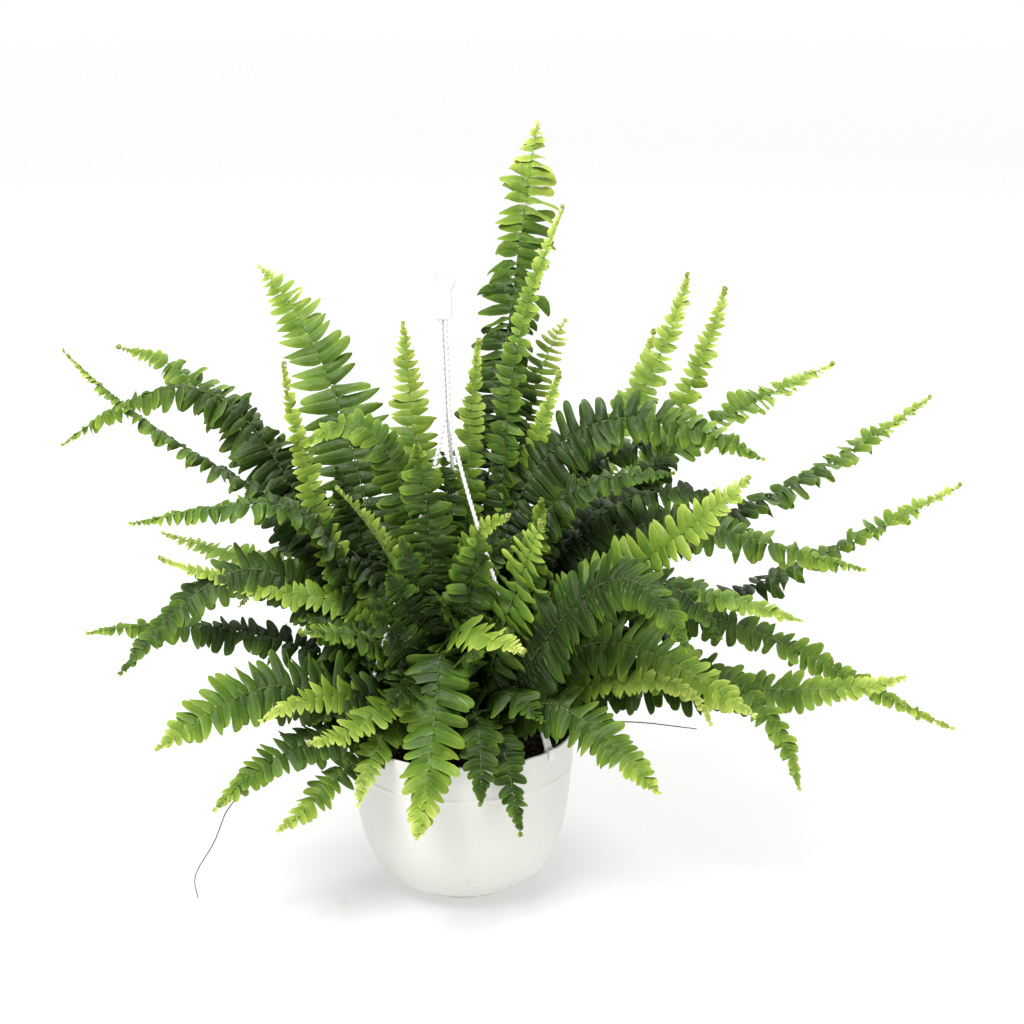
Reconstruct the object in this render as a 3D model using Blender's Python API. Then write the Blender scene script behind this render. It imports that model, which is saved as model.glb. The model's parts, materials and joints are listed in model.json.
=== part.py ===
"""A potted sword fern in its white hanging pot, standing on a table.

Metres, +Z up. The origin is the centre of the pot's underside, the front of the plant faces -Y,
and the back faces +Y. Every frond, hanger strand and runner is an object of its own.
"""

from collections import namedtuple
from math import ceil, cos, hypot, pi, radians, sin

import bmesh
import bpy
import numpy as np
from mathutils import Vector

MM = 0.001
GAP = 0.3 * MM

# Pot
POT_HEIGHT = 140 * MM
RIM_RADIUS = 95 * MM
WALL = 1.9 * MM
WALL_LEAN = 10 * MM
BELLY_TUCK = 30 * MM
BELLY_POWER = 4.8
RIDGE_DEPTH = 31 * MM
RIDGE_HEIGHT = 2 * MM
RIDGE_PROUD = 0.8 * MM
STEP_Z = 10 * MM
STEP_RADIUS = 62 * MM
FOOT_TOP_Z = 8 * MM
FOOT_RADIUS = 46 * MM
FOOT_NOTCH = 3 * MM
FLOOR = 2.2 * MM
POT_SIDES = 40
DRAIN_HOLES = 6
DRAIN_RADIUS = 4 * MM
DRAIN_RING = 28 * MM

# Soil and crown
SOIL_Z = POT_HEIGHT - 12 * MM
CROWN_X = -8 * MM
CROWN_Y = 4 * MM
CROWN_RADIUS = 50 * MM
CROWN_RISE = 6 * MM

# Hanger
STRAND_RADIUS = 1.75 * MM
JUNCTION = Vector((-0.010, 0.0, 0.408))
HOOK_FOOT = Vector((-0.0128, 0.0, 0.486))
BUNDLE_RADIUS = 2.4 * MM
CLIP_AZIMUTHS = (-39, -159, 81)
CLIP_WIDTH = 7.3 * MM
CLIP_THICK = 1.5 * MM
CLIP_INSIDE = 9 * MM
CLIP_LIP = 8 * MM
HUB_SIZE = Vector((14, 8, 21)) * MM
HOOK_ROD = 2.25 * MM
HOOK_CENTRE_UP = 31 * MM
HOOK_TURN_RADIUS = 8 * MM

# Fronds
RING_RADII = (13 * MM, 28 * MM, 44 * MM)
LEAST_STALK_SPACING = 5.6 * MM
STATION = 14 * MM
SAMPLES = 4
TOOTH_DEPTH = 0.26
STALK_PART = 0.10
STALK_RADIUS = 1.1 * MM
RACHIS_RADIUS = 1.0 * MM
TIP_RADIUS = 0.35 * MM
BLADE_DROOP = 0.10
NEIGHBOUR_SHARE = 0.44

# Runners
RUNNER_RADIUS = 0.7 * MM

# A frond leaves the crown at `rise` degrees, comes to its tip at `fall` degrees, and `spring` says how far
# each of those directions carries. `reach` is the tip's distance from the crown and `height` is its height,
# `half` is the blade's half-width, all in millimetres. `roll` turns the blade about its stalk.
Frond = namedtuple("Frond", "name azimuth reach height rise fall spring bow roll half ring tone")

FRONDS = [
    Frond("frond_centre_tall", 66, 177, 623, 75, 65, 0.40, -0.02, 0, 33, 0, "mature"),
    Frond("frond_centre_2", 32, 111, 569, 70, 60, 0.45, 0, 40, 20, 0, "young"),
    Frond("frond_centre_3", 58, 184, 452, 65, 30, 0.30, 0, 0, 20, 1, "mature"),
    Frond("frond_centre_4", 55, 42, 465, 85, 75, 0.20, 0, 0, 20, 0, "young"),
    Frond("frond_centre_5", 106, 162, 451, 75, 75, 0.30, 0, 0, 27, 0, "young"),
    Frond("frond_centre_6", 122, 56, 366, 60, 75, 0.30, 0, 0, 30, 1, "mature"),
    Frond("frond_left_1", 128, 287, 485, 45, 20, 0.40, 0, 20, 42, 0, "young"),
    Frond("frond_left_2", 170, 139, 448, 50, 75, 0.20, 0.10, 0, 18, 1, "young"),
    Frond("frond_left_3", 172, 324, 451, 80, 45, 0.50, 0, 0, 20, 0, "mature"),
    Frond("frond_left_4", 150, 345, 422, 55, -5, 0.30, 0, 10, 32, 1, "mature"),
    Frond("frond_left_5", 163, 353, 351, 50, -40, 0.60, -0.10, 0, 26, 1, "mature"),
    Frond("frond_left_6", 191, 262, 329, 60, -10, 0.70, 0, 0, 20, 1, "mature"),
    Frond("frond_left_7", 148, 313, 254, 50, 5, 0.60, 0, 0, 20, 2, "young"),
    Frond("frond_left_8", 200, 279, 217, 55, -45, 0.70, -0.10, 15, 27, 1, "mature"),
    Frond("frond_left_9", 188, 301, 233, 85, -15, 0.30, 0, 0, 24, 2, "mature"),
    Frond("frond_left_10", 211, 268, 171, 45, -30, 0.50, 0, 15, 34, 2, "mature"),
    Frond("frond_left_11", 220, 240, 126, 50, -45, 0.30, 0, 0, 22, 2, "mature"),
    Frond("frond_left_12", 228, 203, 107, 65, -15, 0.30, 0, 0, 18, 2, "young"),
    Frond("frond_left_13", 217, 188, 184, 45, -25, 0.40, 0, 0, 17, 1, "young"),
    Frond("frond_left_14", 156, 107, 352, 75, 70, 0.60, 0, 0, 30, 1, "dark"),
    Frond("frond_front_1", 240, 145, 116, 75, -50, 0.60, -0.10, 0, 15, 2, "young"),
    Frond("frond_front_2", 263, 192, 118, 80, -25, 1.20, 0, 0, 32, 2, "mature"),
    Frond("frond_front_3", 281, 130, 118, 85, -65, 0.80, 0.10, 0, 20, 2, "dark"),
    Frond("frond_front_4", 294, 140, 92, 75, -60, 0.70, 0.05, 0, 14, 2, "dark"),
    Frond("frond_front_5", 302, 120, 238, 85, -5, 0.80, -0.20, 0, 27, 1, "young"),
    Frond("frond_front_6", 310, 118, 348, 75, 55, 0.20, 0, 0, 33, 1, "young"),
    Frond("frond_front_7", 218, 116, 368, 85, 45, 0.40, 0, 0, 14, 1, "young"),
    Frond("frond_right_1", 314, 238, 148, 60, -30, 0.50, 0, 15, 28, 2, "mature"),
    Frond("frond_right_2", 330, 278, 200, 60, -25, 0.60, 0, 15, 34, 2, "mature"),
    Frond("frond_right_3", 312, 271, 276, 50, -55, 0.50, 0, 0, 32, 1, "dark"),
    Frond("frond_right_4", 338, 301, 125, 45, -75, 0.50, 0.10, 0, 24, 2, "mature"),
    Frond("frond_right_5", 348, 376, 210, 45, 20, 0.40, 0, 15, 27, 2, "mature"),
    Frond("frond_right_6", 355, 418, 147, 50, -25, 0.60, 0, 0, 20, 2, "mature"),
    Frond("frond_right_7", 342, 295, 261, 45, -15, 0.60, 0, 0, 18, 1, "mature"),
    Frond("frond_right_8", 8, 437, 331, 45, 30, 0.20, 0, 0, 24, 2, "mature"),
    Frond("frond_right_9", 18, 438, 388, 50, 25, 0.60, -0.10, 0, 20, 1, "mature"),
    Frond("frond_right_10", 358, 342, 278, 45, -15, 0.80, 0, 10, 26, 0, "mature"),
    Frond("frond_right_11", 28, 382, 407, 75, 15, 0.40, 0, 0, 24, 1, "mature"),
    Frond("frond_right_12", 0, 257, 367, 85, -30, 0.60, 0.05, 20, 36, 0, "mature"),
    Frond("frond_right_13", 48, 312, 481, 75, 75, 0.30, 0, 0, 22, 0, "young"),
    Frond("frond_right_14", 38, 303, 477, 45, 70, 0.40, 0, 0, 22, 1, "young"),
    Frond("frond_right_15", 58, 345, 416, 75, 75, 0.30, 0, 0, 22, 2, "young"),
    Frond("frond_right_16", 342, 251, 379, 55, 45, 0.70, 0, 20, 26, 0, "young"),
    Frond("frond_right_17", 22, 207, 364, 50, 45, 0.60, 0, 0, 34, 1, "dark"),
    Frond("frond_right_18", 333, 240, 251, 65, -60, 0.50, 0, 0, 28, 1, "dark"),
    Frond("frond_back_1", 50, 290, 230, 65, -20, 0.50, 0, 0, 32, 2, "dark"),
    Frond("frond_back_2", 68, 320, 190, 65, -35, 0.60, 0, 0, 32, 2, "mature"),
    Frond("frond_back_3", 86, 300, 270, 75, -10, 0.50, 0, 0, 30, 1, "mature"),
    Frond("frond_back_4", 98, 330, 170, 60, -45, 0.60, 0, 0, 32, 2, "dark"),
    Frond("frond_back_5", 116, 310, 250, 70, -20, 0.50, 0, 0, 30, 2, "mature"),
    Frond("frond_back_6", 134, 320, 180, 60, -40, 0.60, 0, 0, 32, 2, "mature"),
]

MATERIALS = {
    "white_plastic": ((0.83, 0.83, 0.79), 0.38, 0.0),
    "soil": ((0.045, 0.024, 0.015), 0.95, 0.0),
    "rhizome": ((0.16, 0.10, 0.05), 0.85, 0.0),
    "mature": ((0.09, 0.24, 0.035), 0.50, 0.0),
    "young": ((0.28, 0.50, 0.06), 0.48, 0.0),
    "dark": ((0.03, 0.10, 0.02), 0.55, 0.0),
    "runner": ((0.22, 0.17, 0.12), 0.80, 0.0),
}


def clear_scene():
    for item in list(bpy.data.objects):
        bpy.data.objects.remove(item, do_unlink=True)


def material(name):
    """The named finish, made once."""
    if name in bpy.data.materials:
        return bpy.data.materials[name]
    colour, roughness, metallic = MATERIALS[name]
    made = bpy.data.materials.new(name)
    made.use_nodes = True
    shader = made.node_tree.nodes["Principled BSDF"]
    shader.inputs["Base Color"].default_value = (*colour, 1)
    shader.inputs["Roughness"].default_value = roughness
    shader.inputs["Metallic"].default_value = metallic
    return made


def add_object(name, bm, finish):
    """Puts a finished bmesh into the scene under its own name and finish."""
    bmesh.ops.recalc_face_normals(bm, faces=bm.faces)
    mesh = bpy.data.meshes.new(name)
    bm.to_mesh(mesh)
    bm.free()
    mesh.materials.append(material(finish))
    piece = bpy.data.objects.new(name, mesh)
    bpy.context.collection.objects.link(piece)
    return piece


def add_boolean(piece, other, operation):
    cut = piece.modifiers.new(operation.lower(), "BOOLEAN")
    cut.operation = operation
    cut.object = other
    other.hide_render = True
    other.display_type = "WIRE"


def polar(radius, degrees, z):
    return Vector((radius * cos(radians(degrees)), radius * sin(radians(degrees)), z))


# ---------------------------------------------------------------- closed shapes


def loft(bm, rings, start=None, end=None):
    """Skins a list of rings of points and closes both ends, on a point where one is given."""
    loops = [[bm.verts.new(point) for point in ring] for ring in rings]
    for near, far in zip(loops, loops[1:]):
        for i in range(len(near)):
            j = (i + 1) % len(near)
            bm.faces.new((near[i], near[j], far[j], far[i]))
    for loop, pole in ((loops[0], start), (loops[-1], end)):
        if pole is None:
            bm.faces.new(loop)
            continue
        top = bm.verts.new(pole)
        for i in range(len(loop)):
            bm.faces.new((loop[i], loop[(i + 1) % len(loop)], top))


def turned(profile, sides):
    """A solid of revolution from (radius, z) pairs that start and end on the axis.

    A radius may also be a function of the side's number, for a notched edge."""
    rings = []
    for radius, z in profile[1:-1]:
        reach = radius if callable(radius) else lambda side, r=radius: r
        rings.append([polar(reach(i), 360 * i / sides, z) for i in range(sides)])
    bm = bmesh.new()
    loft(bm, rings, Vector((0, 0, profile[0][1])), Vector((0, 0, profile[-1][1])))
    return bm


def directions(points):
    """The unit direction of travel at each point of a path."""
    ahead = points[1:] + points[-1:]
    behind = points[:1] + points[:-1]
    return [(a - b).normalized() for a, b in zip(ahead, behind)]


def tube(bm, points, radius, sides):
    """A closed round rod along a path, with its rings carried along without twisting."""
    side = Vector((1, 0, 0))
    rings = []
    for centre, ahead in zip(points, directions(points)):
        side = (side - ahead * side.dot(ahead)).normalized()
        up = ahead.cross(side)
        ring = [
            centre + radius * (cos(2 * pi * i / sides) * side + sin(2 * pi * i / sides) * up)
            for i in range(sides)
        ]
        rings.append(ring)
    loft(bm, rings)


def curve_point(t, corners):
    """A point of the cubic Bezier curve with these four corners."""
    a, b, c, d = corners
    s = 1 - t
    return s**3 * a + 3 * s * s * t * b + 3 * s * t * t * c + t**3 * d


def smooth_path(points, steps):
    """A Catmull-Rom curve through the points, `steps` pieces to each span."""
    padded = [2 * points[0] - points[1], *points, 2 * points[-1] - points[-2]]
    path = [points[0]]
    for a, b, c, d in zip(padded, padded[1:], padded[2:], padded[3:]):
        for i in range(1, steps + 1):
            t = i / steps
            even = 2 * b + (c - a) * t
            bend = (2 * a - 5 * b + 4 * c - d) * t * t
            twist = (3 * b - a - 3 * c + d) * t**3
            path.append((even + bend + twist) / 2)
    return path


# ---------------------------------------------------------------- pot and soil


def wall_radius(z):
    """The outer radius of the pot's wall at a height above the table."""
    depth = 1 - z / POT_HEIGHT
    return RIM_RADIUS - WALL_LEAN * depth - BELLY_TUCK * depth**BELLY_POWER


def wall_heights(lowest, highest, count):
    """Heights up the wall, closer together down where it curves in."""
    return [lowest + (highest - lowest) * (i / count) ** 1.6 for i in range(count + 1)]


def foot_radius(side):
    """The foot's outer edge, with a drain notch at every fourth side."""
    return FOOT_RADIUS - (FOOT_NOTCH if side % 4 == 0 else 0)


def inner_profile(inset, count):
    """The pot's inside, or the soil that fills it, from the axis up to the wall's top."""
    heel = FOOT_RADIUS - FOOT_NOTCH - WALL - inset
    shelf_z = STEP_Z + WALL + inset
    rows = [(0, FLOOR + inset), (heel, FLOOR + inset), (heel, shelf_z)]
    lowest = shelf_z + 3 * MM
    for z in wall_heights(lowest, POT_HEIGHT, count):
        rows.append((wall_radius(z) - WALL - inset, z))
    return rows


def make_pot():
    ridge_z = POT_HEIGHT - RIDGE_DEPTH
    rows = [(0, 0), (foot_radius, 0), (foot_radius, FOOT_TOP_Z), (STEP_RADIUS, STEP_Z)]
    for z in wall_heights(STEP_Z + 2 * MM, ridge_z - RIDGE_HEIGHT, 7):
        rows.append((wall_radius(z), z))
    rows.append((wall_radius(ridge_z) + RIDGE_PROUD, ridge_z - RIDGE_HEIGHT / 2))
    rows.append((wall_radius(ridge_z) + RIDGE_PROUD, ridge_z))
    rows.append((wall_radius(ridge_z + RIDGE_HEIGHT), ridge_z + RIDGE_HEIGHT / 2))
    rows.append((RIM_RADIUS, POT_HEIGHT - 0.6 * MM))
    rows.append((RIM_RADIUS - 0.5 * MM, POT_HEIGHT))
    rows.extend(reversed(inner_profile(0, 6)))
    pot = add_object("pot", turned(rows, POT_SIDES), "white_plastic")
    drills = bmesh.new()
    for i in range(DRAIN_HOLES):
        foot = polar(DRAIN_RING, 360 * i / DRAIN_HOLES, -FLOOR)
        tube(drills, [foot, foot + Vector((0, 0, 3 * FLOOR))], DRAIN_RADIUS, 12)
    add_boolean(pot, add_object("drain_drills", drills, "white_plastic"), "DIFFERENCE")


def make_soil():
    rows = [row for row in inner_profile(GAP, 6) if row[1] < SOIL_Z - 4 * MM]
    rows.append((wall_radius(SOIL_Z) - WALL - GAP, SOIL_Z - 1 * MM))
    rows.append((wall_radius(SOIL_Z) - WALL - 6 * MM, SOIL_Z))
    rows.append((0, SOIL_Z))
    add_object("potting_soil", turned(rows, POT_SIDES), "soil")


def crown_height(radius):
    """The height of the crown's low dome at a distance from its centre."""
    share = min(1, radius / CROWN_RADIUS)
    return SOIL_Z + GAP + 1 * MM + CROWN_RISE * (1 - share * share)


def make_crown():
    rows = [(0, SOIL_Z + GAP), (CROWN_RADIUS, SOIL_Z + GAP)]
    for i in range(5, -1, -1):
        radius = CROWN_RADIUS * i / 5
        rows.append((radius, crown_height(radius)))
    bm = turned(rows, 36)
    bmesh.ops.translate(bm, verts=bm.verts, vec=(CROWN_X, CROWN_Y, 0))
    add_object("rhizome_crown", bm, "rhizome")


# ---------------------------------------------------------------- hanger


def strand_path(azimuth):
    """One strand's centre line, from its clip at the rim up to the hook's foot."""
    outward = polar(1, azimuth, 0)
    foot = outward * (RIM_RADIUS - 2.5 * MM) + Vector((0, 0, POT_HEIGHT + CLIP_THICK))
    split = JUNCTION + outward * BUNDLE_RADIUS
    top = HOOK_FOOT + outward * BUNDLE_RADIUS - Vector((0, 0, GAP))
    corners = (foot, foot.lerp(split, 0.35), split - Vector((0, 0, 0.05)) + outward * 6 * MM, split)
    rising = [curve_point(i / 14, corners) for i in range(15)]
    return rising + [split.lerp(top, i / 4) for i in range(1, 5)]


def clip_outline():
    """The clip's side view as (outward, z) pairs round the pot's rim."""
    inner = (wall_radius(POT_HEIGHT - CLIP_INSIDE) - WALL) * cos(pi / POT_SIDES) - GAP
    outer = RIM_RADIUS + GAP
    over = POT_HEIGHT + GAP
    return [
        (inner - CLIP_THICK, over - CLIP_INSIDE),
        (inner, over - CLIP_INSIDE),
        (inner, over),
        (outer, over),
        (outer, over - CLIP_LIP),
        (outer + CLIP_THICK, over - CLIP_LIP),
        (outer + CLIP_THICK, over + CLIP_THICK),
        (inner - CLIP_THICK, over + CLIP_THICK),
    ]


def make_strands():
    for number, azimuth in enumerate(CLIP_AZIMUTHS, 1):
        along = polar(1, azimuth + 90, 0) * CLIP_WIDTH / 2
        outline = [polar(reach, azimuth, z) for reach, z in clip_outline()]
        clip = bmesh.new()
        loft(clip, [[p - along for p in outline], [p + along for p in outline]])
        strand = add_object(f"hanger_strand_{number}", clip, "white_plastic")
        rod = bmesh.new()
        tube(rod, strand_path(azimuth), STRAND_RADIUS, 8)
        add_boolean(strand, add_object(f"strand_rod_{number}", rod, "white_plastic"), "UNION")


def hook_path():
    """The hook's rod: up out of the block, round over the top, and down to its open tip."""
    centre = HOOK_FOOT + Vector((0, 0, HOOK_CENTRE_UP))
    turn = [centre + polar_upright(HOOK_TURN_RADIUS, angle) for angle in range(-50, 191, 20)]
    root = centre + polar_upright(HOOK_TURN_RADIUS, -50) - Vector((0.002, 0, 0.006))
    return [root, *turn]


def polar_upright(radius, degrees):
    return Vector((radius * cos(radians(degrees)), 0, radius * sin(radians(degrees))))


def make_hook():
    block = bmesh.new()
    bmesh.ops.create_cube(block, size=1)
    bmesh.ops.scale(block, verts=block.verts, vec=HUB_SIZE)
    bmesh.ops.bevel(block, geom=block.edges, offset=1.2 * MM, segments=1, affect="EDGES")
    bmesh.ops.translate(block, verts=block.verts, vec=HOOK_FOOT + Vector((0, 0, HUB_SIZE.z / 2)))
    hook = add_object("hanger_hook", block, "white_plastic")
    rod = bmesh.new()
    tube(rod, hook_path(), HOOK_ROD, 8)
    add_boolean(hook, add_object("hook_rod", rod, "white_plastic"), "UNION")


# ---------------------------------------------------------------- fronds


def spread(angles, least):
    """Moves neighbouring angles apart until each is at least `least` degrees from the next."""
    order = sorted(range(len(angles)), key=lambda i: angles[i])
    turned_to = list(angles)
    for _ in range(200):
        for a, b in zip(order, order[1:] + order[:1]):
            between = (turned_to[b] - turned_to[a] + 180) % 360 - 180
            short = least - between
            if short > 0:
                turned_to[a] -= short / 2
                turned_to[b] += short / 2
    return turned_to


def stalk_angles():
    """Where on its ring of the crown each frond's stalk stands, by the frond's name."""
    found = {}
    for ring, radius in enumerate(RING_RADII):
        members = [frond for frond in FRONDS if frond.ring == ring]
        least = LEAST_STALK_SPACING / radius * 180 / pi
        for frond, angle in zip(members, spread([frond.azimuth for frond in members], least)):
            found[frond.name] = angle
    return found


def frond_line(frond, stalk_angle):
    """The frond's centre line, with SAMPLES points to each station."""
    crown = Vector((CROWN_X, CROWN_Y, 0))
    ring = RING_RADII[frond.ring]
    base = crown + polar(ring, stalk_angle, crown_height(ring) + 1.5 * GAP)
    tip = crown + polar(frond.reach * MM, frond.azimuth, frond.height * MM)
    across = Vector((tip.x - base.x, tip.y - base.y, 0)).normalized()
    sideways = Vector((-across.y, across.x, 0))
    span = (tip - base).length
    leave = cos(radians(frond.rise)) * across + Vector((0, 0, sin(radians(frond.rise))))
    arrive = cos(radians(frond.fall)) * across + Vector((0, 0, sin(radians(frond.fall))))
    sway = frond.bow * span * sideways
    corners = (
        base,
        base + frond.spring * span * leave + sway,
        tip - frond.spring * span * arrive + sway,
        tip,
    )
    fine = [curve_point(i / 60, corners) for i in range(61)]
    length = sum((b - a).length for a, b in zip(fine, fine[1:]))
    count = SAMPLES * 2 * ceil(length / STATION / 2)
    return even_points(fine, length / count, count)


def even_points(path, pace, count):
    """Points an even pace apart along a path."""
    points = [path[0]]
    walked = 0
    due = pace
    for a, b in zip(path, path[1:]):
        step = (b - a).length
        while due <= walked + step and len(points) < count:
            points.append(a.lerp(b, (due - walked) / step))
            due += pace
        walked += step
    return points + [path[-1]]


def distance_to(point, cloud):
    """The distance from a point to the nearest of an array of points."""
    return float(np.sqrt(((cloud - np.array(point)) ** 2).sum(axis=1).min()))


def room_at(point, neighbours, strands):
    """How far a blade may spread here and stay clear of its neighbours, the strands and the pot."""
    room = NEIGHBOUR_SHARE * distance_to(point, neighbours)
    room = min(room, distance_to(point, strands) - STRAND_RADIUS - 2 * GAP)
    radius = hypot(point.x, point.y)
    room = min(room, 0.8 * hypot(radius - RIM_RADIUS, point.z - POT_HEIGHT))
    if radius < RIM_RADIUS:
        room = min(room, 0.8 * (point.z - SOIL_Z))
    return room


def blade_shape(share):
    """The blade's width along the frond, as a share of its widest, from stalk to tip."""
    along = (share - STALK_PART) / (1 - STALK_PART)
    if along <= 0:
        return 0
    return min(1, along / 0.2) ** 0.8 * (1 - along**2.4)


def make_frond(frond, line, neighbours, strands):
    """A closed toothed blade with a ridge above and below its centre line."""
    rooms = [room_at(point, neighbours, strands) for point in line]
    stations = line[::SAMPLES]
    last = len(stations) - 1
    rings = []
    for i, (centre, ahead) in enumerate(zip(stations, directions(stations))):
        if i in (0, last):
            continue
        side = Vector((-ahead.y, ahead.x, 0)).normalized()
        up = side.cross(ahead) * -1
        turn = radians(frond.roll)
        across = cos(turn) * side + sin(turn) * up
        above = cos(turn) * up - sin(turn) * side
        tooth = 1 - TOOTH_DEPTH * (i % 2)
        nearby = rooms[SAMPLES * i - SAMPLES // 2 : SAMPLES * i + SAMPLES // 2 + 1]
        room = max(STALK_RADIUS, min(nearby))
        wide = min(frond.half * MM * blade_shape(i / last) * tooth, room)
        wide = max(wide, STALK_RADIUS * (1 - 0.5 * i / last))
        thick = min(wide * 0.7, RACHIS_RADIUS + (TIP_RADIUS - RACHIS_RADIUS) * i / last)
        droop = above * BLADE_DROOP * max(0, wide - 3 * thick)
        rings.append(
            [
                centre - across * wide - droop,
                centre + above * thick,
                centre + across * wide - droop,
                centre - above * thick,
            ]
        )
    bm = bmesh.new()
    loft(bm, rings, stations[0], stations[-1])
    add_object(frond.name, bm, frond.tone)


def make_fronds():
    angles = stalk_angles()
    lines = {frond.name: frond_line(frond, angles[frond.name]) for frond in FRONDS}
    paths = [smooth_path(strand_path(azimuth), 4) for azimuth in CLIP_AZIMUTHS]
    strands = np.array([tuple(point) for path in paths for point in path])
    for frond in FRONDS:
        others = [line for name, line in lines.items() if name != frond.name]
        neighbours = np.array([tuple(point) for line in others for point in line])
        make_frond(frond, lines[frond.name], neighbours, strands)


# ---------------------------------------------------------------- runners


def make_runner(name, points):
    """A thin bare stem that trails out between the fronds."""
    bm = bmesh.new()
    tube(bm, smooth_path([Vector(point) for point in points], 4), RUNNER_RADIUS, 6)
    add_object(name, bm, "runner")


def make_runners():
    make_runner(
        "runner_left",
        [
            (-0.050, -0.027, 0.1325),
            (-0.074, -0.039, 0.152),
            (-0.115, -0.055, 0.150),
            (-0.160, -0.066, 0.122),
            (-0.188, -0.074, 0.097),
            (-0.201, -0.078, 0.068),
            (-0.217, -0.083, 0.040),
            (-0.216, -0.084, 0.020),
        ],
    )
    make_runner(
        "runner_right",
        [
            (0.040, -0.018, 0.1325),
            (0.070, -0.030, 0.150),
            (0.110, -0.046, 0.160),
            (0.150, -0.056, 0.163),
            (0.192, -0.062, 0.160),
        ],
    )


def main():
    clear_scene()
    make_pot()
    make_soil()
    make_crown()
    make_strands()
    make_hook()
    make_fronds()
    make_runners()


main()
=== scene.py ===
"""A potted sword fern: feathered fronds, soil and crown in a white hanging pot with its moulded hanger.

Metres, +Z up, the front of the plant faces -Y. Every piece rides on the one body, "root".
"""

import json
from collections import namedtuple
from math import cos, hypot, pi, radians, sin
from random import Random

import bmesh
import bpy
import numpy as np
from mathutils import Matrix, Vector, noise

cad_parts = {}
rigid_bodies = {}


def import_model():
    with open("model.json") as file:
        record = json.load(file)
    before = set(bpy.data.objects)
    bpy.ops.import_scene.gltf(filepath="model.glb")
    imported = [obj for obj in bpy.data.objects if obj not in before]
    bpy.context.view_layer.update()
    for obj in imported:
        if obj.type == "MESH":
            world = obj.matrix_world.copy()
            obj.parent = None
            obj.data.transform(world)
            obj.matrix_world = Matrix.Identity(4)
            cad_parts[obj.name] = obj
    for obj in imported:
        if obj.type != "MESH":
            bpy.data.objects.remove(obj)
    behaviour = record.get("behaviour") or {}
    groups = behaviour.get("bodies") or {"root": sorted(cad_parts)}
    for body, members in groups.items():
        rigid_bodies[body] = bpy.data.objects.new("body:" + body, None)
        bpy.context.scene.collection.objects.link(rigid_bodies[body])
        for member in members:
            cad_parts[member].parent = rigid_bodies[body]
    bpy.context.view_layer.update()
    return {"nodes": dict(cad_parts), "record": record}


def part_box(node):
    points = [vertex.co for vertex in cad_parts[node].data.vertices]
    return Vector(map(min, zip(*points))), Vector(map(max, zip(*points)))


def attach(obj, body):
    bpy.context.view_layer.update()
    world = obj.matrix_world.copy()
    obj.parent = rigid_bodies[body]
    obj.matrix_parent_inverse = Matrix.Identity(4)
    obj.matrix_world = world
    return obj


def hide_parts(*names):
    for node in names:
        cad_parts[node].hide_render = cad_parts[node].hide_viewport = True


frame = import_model()

MM = 0.001
UP = Vector((0, 0, 1))
SLOTS = {part["node"]: part["material_slot"] for part in frame["record"]["subparts"]}
RIM_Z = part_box("pot")[1].z
RIM_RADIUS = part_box("pot")[1].x
SOIL_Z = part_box("potting_soil")[1].z
CROWN_LOW, CROWN_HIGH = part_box("rhizome_crown")
CROWN = (CROWN_LOW + CROWN_HIGH) / 2
CROWN_RADIUS = (CROWN_HIGH.x - CROWN_LOW.x) / 2

scene = bpy.context.scene


# ---------------------------------------------------------------- view and light

LENS = 79.45
CAMERA_PLACE = (0.042, -1.764, 0.868)
CAMERA_TILT = 72.9
ROOM_LIGHT = 0.49
# Each lamp's place, the point that it shines at, its width and its power.
LAMPS = {
    "key": ((-0.8, -1.3, 3.1), (0, 0, 0.25), 1.5, 118),
    "fill": ((1.8, -1.6, 1.4), (0, 0, 0.25), 1.8, 8),
    "back": ((0.6, 2.2, 2.4), (0, 0, 0.3), 1.4, 44),
}


def make_camera():
    data = bpy.data.cameras.new("front_view")
    data.lens = LENS
    data.sensor_width = 36
    camera = bpy.data.objects.new("front_view", data)
    camera.location = CAMERA_PLACE
    camera.rotation_euler = (radians(CAMERA_TILT), 0, 0)
    scene.collection.objects.link(camera)
    scene.camera = camera


def make_light():
    world = bpy.data.worlds.new("white_room")
    world.use_nodes = True
    world.node_tree.nodes["Background"].inputs["Color"].default_value = (1, 1, 1, 1)
    world.node_tree.nodes["Background"].inputs["Strength"].default_value = ROOM_LIGHT
    scene.world = world
    for name, (place, aim, size, power) in LAMPS.items():
        data = bpy.data.lights.new(name, "AREA")
        data.shape = "DISK"
        data.size = size
        data.energy = power
        lamp = bpy.data.objects.new(name, data)
        lamp.location = place
        lamp.rotation_euler = (Vector(aim) - Vector(place)).to_track_quat("-Z", "Y").to_euler()
        scene.collection.objects.link(lamp)
    scene.view_settings.view_transform = "Standard"


# ---------------------------------------------------------------- node helpers


def feed(tree, socket, value):
    """Joins another node's output to the socket, or sets the socket to a plain value."""
    if isinstance(value, bpy.types.NodeSocket):
        tree.links.new(value, socket)
    else:
        socket.default_value = value


def add(tree, kind, sockets=None, **settings):
    """A node with its settings made and its inputs fed."""
    made = tree.nodes.new(kind)
    for key, value in settings.items():
        setattr(made, key, value)
    for key, value in (sockets or {}).items():
        feed(tree, made.inputs[key], value)
    return made


def maths(tree, operation, first, second=0.0, clamp=False):
    sockets = {0: first, 1: second}
    return add(tree, "ShaderNodeMath", sockets, operation=operation, use_clamp=clamp).outputs[0]


def plus(tree, first, second):
    return maths(tree, "ADD", first, second)


def times(tree, first, second):
    return maths(tree, "MULTIPLY", first, second)


def about_zero(tree, value, width):
    """A value between 0 and 1 moved to swing as far to both sides of 0, over the given width in all."""
    return times(tree, maths(tree, "SUBTRACT", value, 0.5), width)


def mixed(tree, share, first, second, blend_type="MIX"):
    """Two colours mixed. The node has a set of sockets for each type of value, and colour's are 6 and 7."""
    sockets = {0: share, 6: first, 7: second}
    return add(tree, "ShaderNodeMix", sockets, data_type="RGBA", blend_type=blend_type).outputs[2]


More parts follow.
